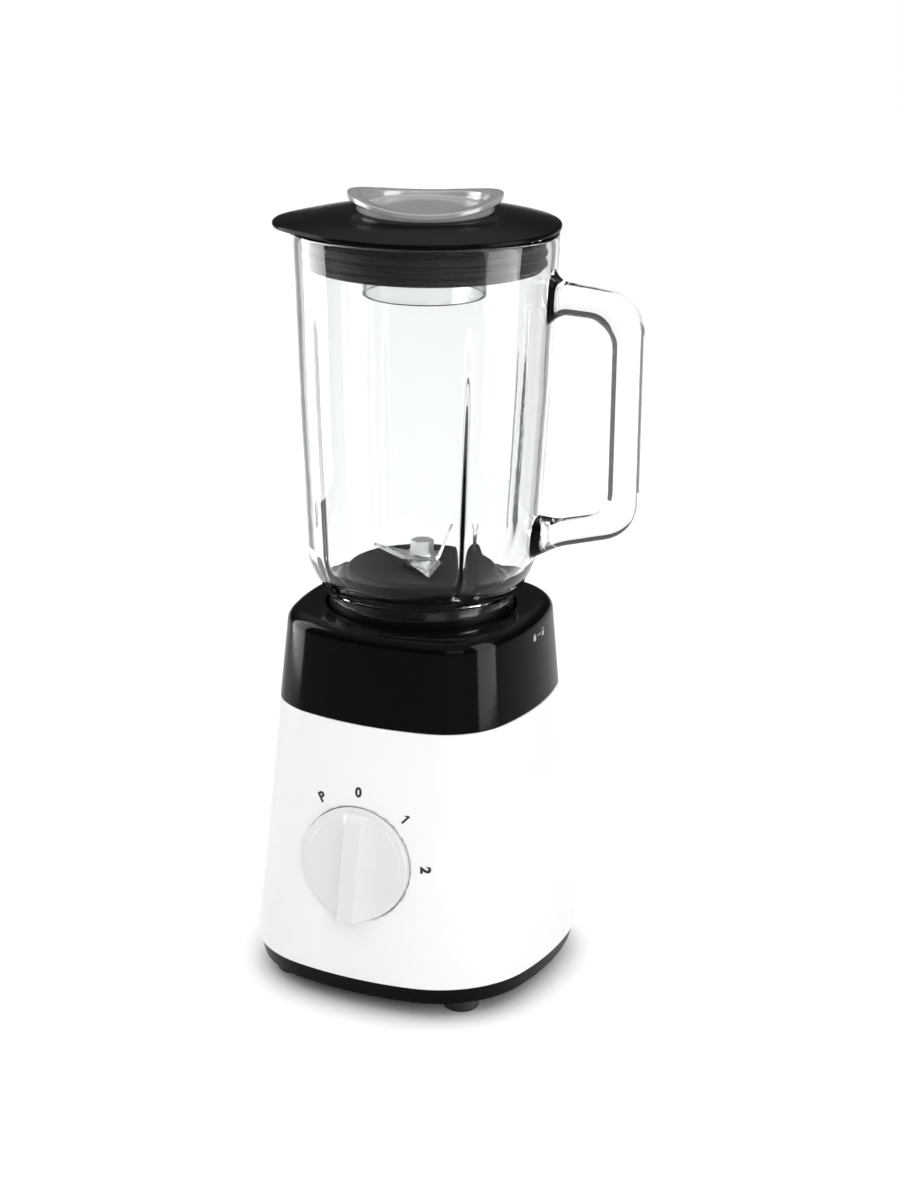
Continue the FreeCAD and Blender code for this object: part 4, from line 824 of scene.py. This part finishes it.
class BLENDER_OT_blades(bpy.types.Operator):
    """Two pairs of bent blades with ground cutting edges"""
    bl_idname = "blender_looks.blades"
    bl_label = "Blades"

    def pair(self, name, low, ends, width, yaw, taper):
        """A strip whose width tapers to points at both ends, carried along a bent line; its section is
        a flat diamond, thinned towards both cutting edges."""
        far, near = ends
        line = np.array([far, (-9.0, 0), (9.0, 0), near], float)
        bent = round_corners([(x, z, 3.0) for x, z in line], 7, False)[6:-6, :2]
        bent = even_runs(bent, 0.6, False)
        along = np.concatenate([[0], np.cumsum(np.hypot(*np.diff(bent, axis=0).T))])
        share = along / along[-1]
        start, stop = (np.interp(x, bent[:, 0], share) for x in (-9.0, 9.0))
        half = width / 2
        places, lean = [0, start, stop, 1], taper * width
        y_high = np.interp(share, places, [lean + 0.25, half, half, -lean + 0.25])
        y_low = np.interp(share, places, [lean - 0.25, -half, -half, -lean - 0.25])
        ground = np.minimum(2.2, (y_high - y_low) / 2 * 0.8)
        slope = np.gradient(bent, axis=0)
        slope /= np.linalg.norm(slope, axis=1, keepdims=True)
        normal = np.stack([-slope[:, 1], slope[:, 0]], axis=1)
        across = np.stack([y_low, y_low + ground, y_high - ground, y_high, y_high - ground,
                           y_low + ground], axis=1)
        lift = np.broadcast_to(np.array([0.12, 1.4, 1.4, 0.12, 0.0, 0.0]), across.shape)
        spots = np.stack([bent[:, None, 0] + normal[:, None, 0] * lift, across,
                          low + bent[:, None, 1] + normal[:, None, 1] * lift], axis=-1)
        ends = [np.broadcast_to(spots[row].mean(0), (1, 6, 3)) for row in (0, -1)]
        spots = turned(np.concatenate([ends[0], spots, ends[1]]), math.radians(yaw))
        hole = piece_from_grid("hole", tube(low - 5, low + 10, SPINDLE_R), False)
        strip = combine(piece_from_grid(name, spots, False), "DIFFERENCE", [hole])
        strip.data.shade_flat()
        return strip

    def execute(self, context):
        lower = self.pair("lower_blade_pair", 211.6, ((-28.0, -1.2), (28.0, -1.2)), 15.0, -52, 0.16)
        stand_for(lower, "blades", ["lower_blades"], finish("blade_steel"))
        upper = self.pair("upper_blade_pair", 213.0, ((-24.0, 4.0), (15.4, 17.0)), 14.0, 20, 0.1)
        stand_for(upper, "blades", ["upper_blades"], finish("blade_steel"))
        return {"FINISHED"}


# ---------------------------------------------------------------- lid and cap
class BLENDER_OT_lid(bpy.types.Operator):
    """Black lid with its beak and skirt, and the finned rubber seal round the skirt"""
    bl_idname = "blender_looks.lid"
    bl_label = "Lid"

    def execute(self, context):
        """The dome's path is turned about +Z, and the points beyond the skirt are stretched outwards
        by a bell curve of the angle from the beak."""
        beak, droop = 7.6, 0.25
        crown = arc((64.4, 378.0), (38.9, 382.6), 160, 12)
        path = np.vstack([[(31.4, 382.6), (31.0, 382.2), (31.0, 370.9), (31.2, 370.7), (33.3, 370.7),
                           (33.5, 370.9), (33.5, 378.3), (51.4, 375.7), (51.4, 357.3), (51.7, 357.0),
                           (54.2, 357.0), (54.5, 357.3), (54.5, 375.7), (63.9, 375.7), (64.5, 375.95),
                           (64.7, 376.6), (64.7, 377.4)], crown])
        path = even_runs(path, 2.0)
        angle = crowded_angles(320, [LIP], 14, 3.0)
        off = np.angle(np.exp(1j * (angle - math.pi)))[None, :]
        bell = np.exp(-(np.abs(off) / math.radians(24)) ** 2.6)
        beyond = np.clip((path[:, :1] - 56) / 8.7, 0, 1)
        reach = path[:, :1] + beak * bell * beyond**1.3
        points = round_axis(reach, path[:, 1:2] - droop * bell * beyond, angle)
        lid = piece_from_grid("lid_dome", turned(points, LID_YAW))
        even_shading(stand_for(lid, "lid_set", ["lid"], finish("lid_black")))
        outline = [(54.55, 357.6, 0.2), (56.4, 357.6, 0.3)]
        for fin in range(3):
            low = 359.0 + 5 * fin
            outline += [(56.4, low, 0.4), (58.3, low + 1, 0.35), (58.3, low + 1.8, 0.35),
                        (56.4, low + 2.8, 0.4)]
        outline += [(56.4, 375.3, 0.6), (61.5, 375.3, 0.15), (61.5, 375.65, 0.1), (54.55, 375.65, 0)]
        seal = piece_from_grid("finned_seal", lathe(round_corners(outline, 5), 192))
        even_shading(stand_for(seal, "lid_set", ["lid_seal"], finish("seal_rubber")))
        return {"FINISHED"}


class BLENDER_OT_measuring_cap(bpy.types.Operator):
    """Measuring cap: a saddle-shaped disc with a shallow dish, over a cup that opens downwards"""
    bl_idname = "blender_looks.measuring_cap"
    bl_label = "Measuring Cap"

    def execute(self, context):
        """Each row of the profile is a radius, a height and how far it follows the saddle, whose
        height over its middle is R - sqrt(R^2 - x^2)."""
        rows = [(0, 385, 0), (28.6, 385.0, 0), (29.5, 385.25, 0.1), (29.8, 386.0, 0.3), (30.0, 386.7, 0.97),
                (30.5, 387.0, 1), (36.3, 387.0, 1), (36.75, 386.8, 1), (36.9, 386.3, 1), (36.9, 384.8, 1),
                (36.7, 384.35, 1), (36.2, 384.2, 1), (33.0, 384.2, 1), (32.6, 384.0, 0.95),
                (32.6, 383.3, 0.1),
                (32.2, 382.95, 0), (30.3, 382.9, 0), (30.0, 382.6, 0), (30.0, 344.0, 0), (29.6, 343.4, 0),
                (28.6, 343.4, 0), (28.2, 344.0, 0), (28.2, 382.2, 0), (27.2, 383.2, 0), (0, 383.2, 0)]
        path = even_runs(np.array(rows, float), 2.2, False)
        angle = np.arange(256) * TAU / 256
        across = path[:, :1] * np.cos(angle)
        saddle = 136 - np.sqrt(136**2 - across**2)
        height = path[:, 1:2] + saddle * path[:, 2:3]
        points = np.stack([across, path[:, :1] * np.sin(angle), height], axis=-1)
        cap = piece_from_grid("measuring_cap_body", turned(points, LID_YAW), False)
        even_shading(stand_for(cap, "cap", ["measuring_cap"], finish("smoky_plastic")))
        cap.visible_shadow = False
        return {"FINISHED"}


# ---------------------------------------------------------------- carried-over solids
CAD_FINISHES = {
    "black_satin": "bottom_plate cord_inlet jug_collar blade_holder lock_ring",
    "rubber": "foot_front_left foot_front_right foot_back_left foot_back_right motor_mounts shaft_seal "
              "jug_gasket spindle_seal",
    "moulded_plastic": "rotary_switch interlock_switch interlock_plunger cooling_fan drive_coupling "
                       "driven_coupling brush_holder_left brush_holder_right",
    "machined_steel": "bottom_screws motor_screws knob_shaft motor_shaft lower_bearing upper_bearing "
                      "blade_spindle thrust_washer blade_washer blade_nut",
    "laminated_steel": "armature_core stator_core",
    "copper_wire": "armature_windings field_coil_front field_coil_back",
    "commutator_copper": "commutator",
    "cast_aluminium": "lower_bracket upper_bracket",
    "carbon": "carbon_brush_left carbon_brush_right",
    "bronze": "blade_bush",
}


class BLENDER_OT_inner_parts(bpy.types.Operator):
    """Finishes for the solids that keep their own shape"""
    bl_idname = "blender_looks.inner_parts"
    bl_label = "Inner Parts"

    def execute(self, context):
        for name, nodes in CAD_FINISHES.items():
            for node in nodes.split():
                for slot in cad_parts[node].material_slots:
                    slot.material = finish(name)
        return {"FINISHED"}


# ---------------------------------------------------------------- stage
class BLENDER_OT_studio(bpy.types.Operator):
    """Pale floor, soft lights, bright surroundings and the camera"""
    bl_idname = "blender_looks.studio"
    bl_label = "Studio"

    def floor(self, studio):
        """A level sheet: x and y run over a square, z is zero."""
        run = np.linspace(-30000, 30000, 5)
        x, y = np.meshgrid(run, run)
        floor = piece_from_grid("floor", np.stack([x, y, np.zeros_like(x)], axis=-1), False, False)
        make = Finish("floor_paper")
        cloud = make.noise(3, 3)
        floor.data.materials.append(make.done(make.surface(
            Base_Color=make.blend(cloud, tone(studio.floor), tone(studio.floor, 0.995)),
            Roughness=cloud * 0.1 + 0.6, Specular_IOR_Level=0.2)))
        if floor.data.polygons[0].normal.z < 0:
            floor.data.flip_normals()

    def card(self, side):
        """A dark upright sheet that only light bent by the glass meets, which draws the glass's edges.
        Its points run from one end to the other and up."""
        ends = np.array([(0.36, 0.6), (0.8, -0.05)])  # to the side and ahead, in metres
        heading = math.radians(26)
        ahead = np.array([-math.sin(heading), math.cos(heading)])
        right = np.array([math.cos(heading), math.sin(heading)])
        foot = side * ends[:, :1] * right + ends[:, 1:] * ahead
        points = np.array([[(x, y, z) for x, y in foot] for z in (0.0, 1.0)]) / MM
        card = piece_from_grid("card_" + ("right" if side > 0 else "left"), points, False, False)
        make = Finish("card_black")
        card.data.materials.append(make.done(make.surface(
            Base_Color=tone((0.15, 0.15, 0.15)), Roughness=make.noise(5, 2) * 0.1 + 0.8,
            Specular_IOR_Level=0.1)))
        card.visible_camera = card.visible_diffuse = card.visible_glossy = card.visible_shadow = False

    def light(self, name, power, size, place, aim):
        data = bpy.data.lights.new(name, "AREA")
        data.shape, data.energy = "RECTANGLE", power
        data.size, data.size_y = size
        lamp = bpy.data.objects.new(name, data)
        lamp.rotation_euler = (Vector(place) - Vector(aim)).to_track_quat("Z", "Y").to_euler()
        lamp.location = place
        bpy.context.scene.collection.objects.link(lamp)
        return lamp

    def surroundings(self, studio):
        """Bright overhead and behind, darker round the horizon, so glass and gloss show their edges."""
        world = bpy.data.worlds.new("surroundings")
        bpy.context.scene.world = world
        make = Finish("surroundings", world)
        up = make.axes(make.node("TexCoord", output="Generated"))[2]
        share = make.ramp(up, 0.28, 0.8)
        colour = make.blend(share, (0.06, 0.06, 0.062, 1), (1, 1, 1, 1))
        glow = make.node("Background", None, {"Color": colour, "Strength": studio.sky})
        make.node("OutputWorld", None, {"Surface": glow})

    def execute(self, context):
        studio = context.scene.blender_studio
        self.floor(studio)
        self.surroundings(studio)
        self.card(1)
        self.card(-1)
        self.light("overhead", studio.key, (1.6, 1.6), (-0.2, 0.3, 1.9), (0, 0, 0.15))
        self.light("front_fill", studio.fill, (0.9, 0.9), (1.3, -1.3, 0.8), (0, 0, 0.12))
        for name, degrees in (("box_right", 5), ("box_left", -171)):
            turn, away, middle = math.radians(degrees), 0.75, 0.5
            place = (away * math.cos(turn), away * math.sin(turn), middle)
            box = self.light(name, studio.sides, (0.45, 1.0), place, (0, 0, middle))
            box.visible_camera = box.visible_diffuse = False
        data = bpy.data.cameras.new("camera")
        data.lens, data.sensor_width, data.clip_start, data.clip_end = studio.lens, 36, 0.05, 200
        camera = bpy.data.objects.new("camera", data)
        place, heading, pitch, roll = (0.5414, -1.1069, 0.594), math.radians(26.06) - 0.0113, 0.3169, 0.0131
        steps = ((heading, "Z"), (math.pi / 2 - pitch, "X"), (roll, "Z"))
        camera.matrix_world = Matrix.Translation(place)
        for turn, axis in steps:
            camera.matrix_world = camera.matrix_world @ Matrix.Rotation(turn, 4, axis)
        context.scene.collection.objects.link(camera)
        context.scene.camera = camera
        context.scene.view_settings.view_transform = "Standard"
        return {"FINISHED"}


class BLENDER_PT_looks(bpy.types.Panel):
    """Sidebar panel with the sizes, the colours and one button for each piece"""
    bl_idname = "BLENDER_PT_looks"
    bl_label = "Countertop Blender"
    bl_space_type = "VIEW_3D"
    bl_region_type = "UI"
    bl_category = "Blender"

    def draw(self, context):
        for group in (context.scene.blender_looks, context.scene.blender_studio):
            box = self.layout.box()
            for name in group.__annotations__:
                box.prop(group, name)
        for maker in OPERATORS:
            self.layout.operator(maker.bl_idname)


OPERATORS = (BLENDER_OT_lower_shell, BLENDER_OT_upper_shell, BLENDER_OT_dial, BLENDER_OT_dial_figures,
             BLENDER_OT_lock_signs, BLENDER_OT_glass_jug, BLENDER_OT_blades, BLENDER_OT_lid,
             BLENDER_OT_measuring_cap, BLENDER_OT_inner_parts, BLENDER_OT_studio)
CLASSES = (BlenderLooks, BlenderStudio, BLENDER_PT_looks) + OPERATORS


def register():
    for item in CLASSES:
        bpy.utils.register_class(item)
    bpy.types.Scene.blender_looks = PointerProperty(type=BlenderLooks)
    bpy.types.Scene.blender_studio = PointerProperty(type=BlenderStudio)


def unregister():
    del bpy.types.Scene.blender_looks
    del bpy.types.Scene.blender_studio
    for item in reversed(CLASSES):
        bpy.utils.unregister_class(item)


def main():
    register()
    for maker in OPERATORS:
        group, name = maker.bl_idname.split(".")
        getattr(getattr(bpy.ops, group), name)()


if __name__ == "__main__":
    main()
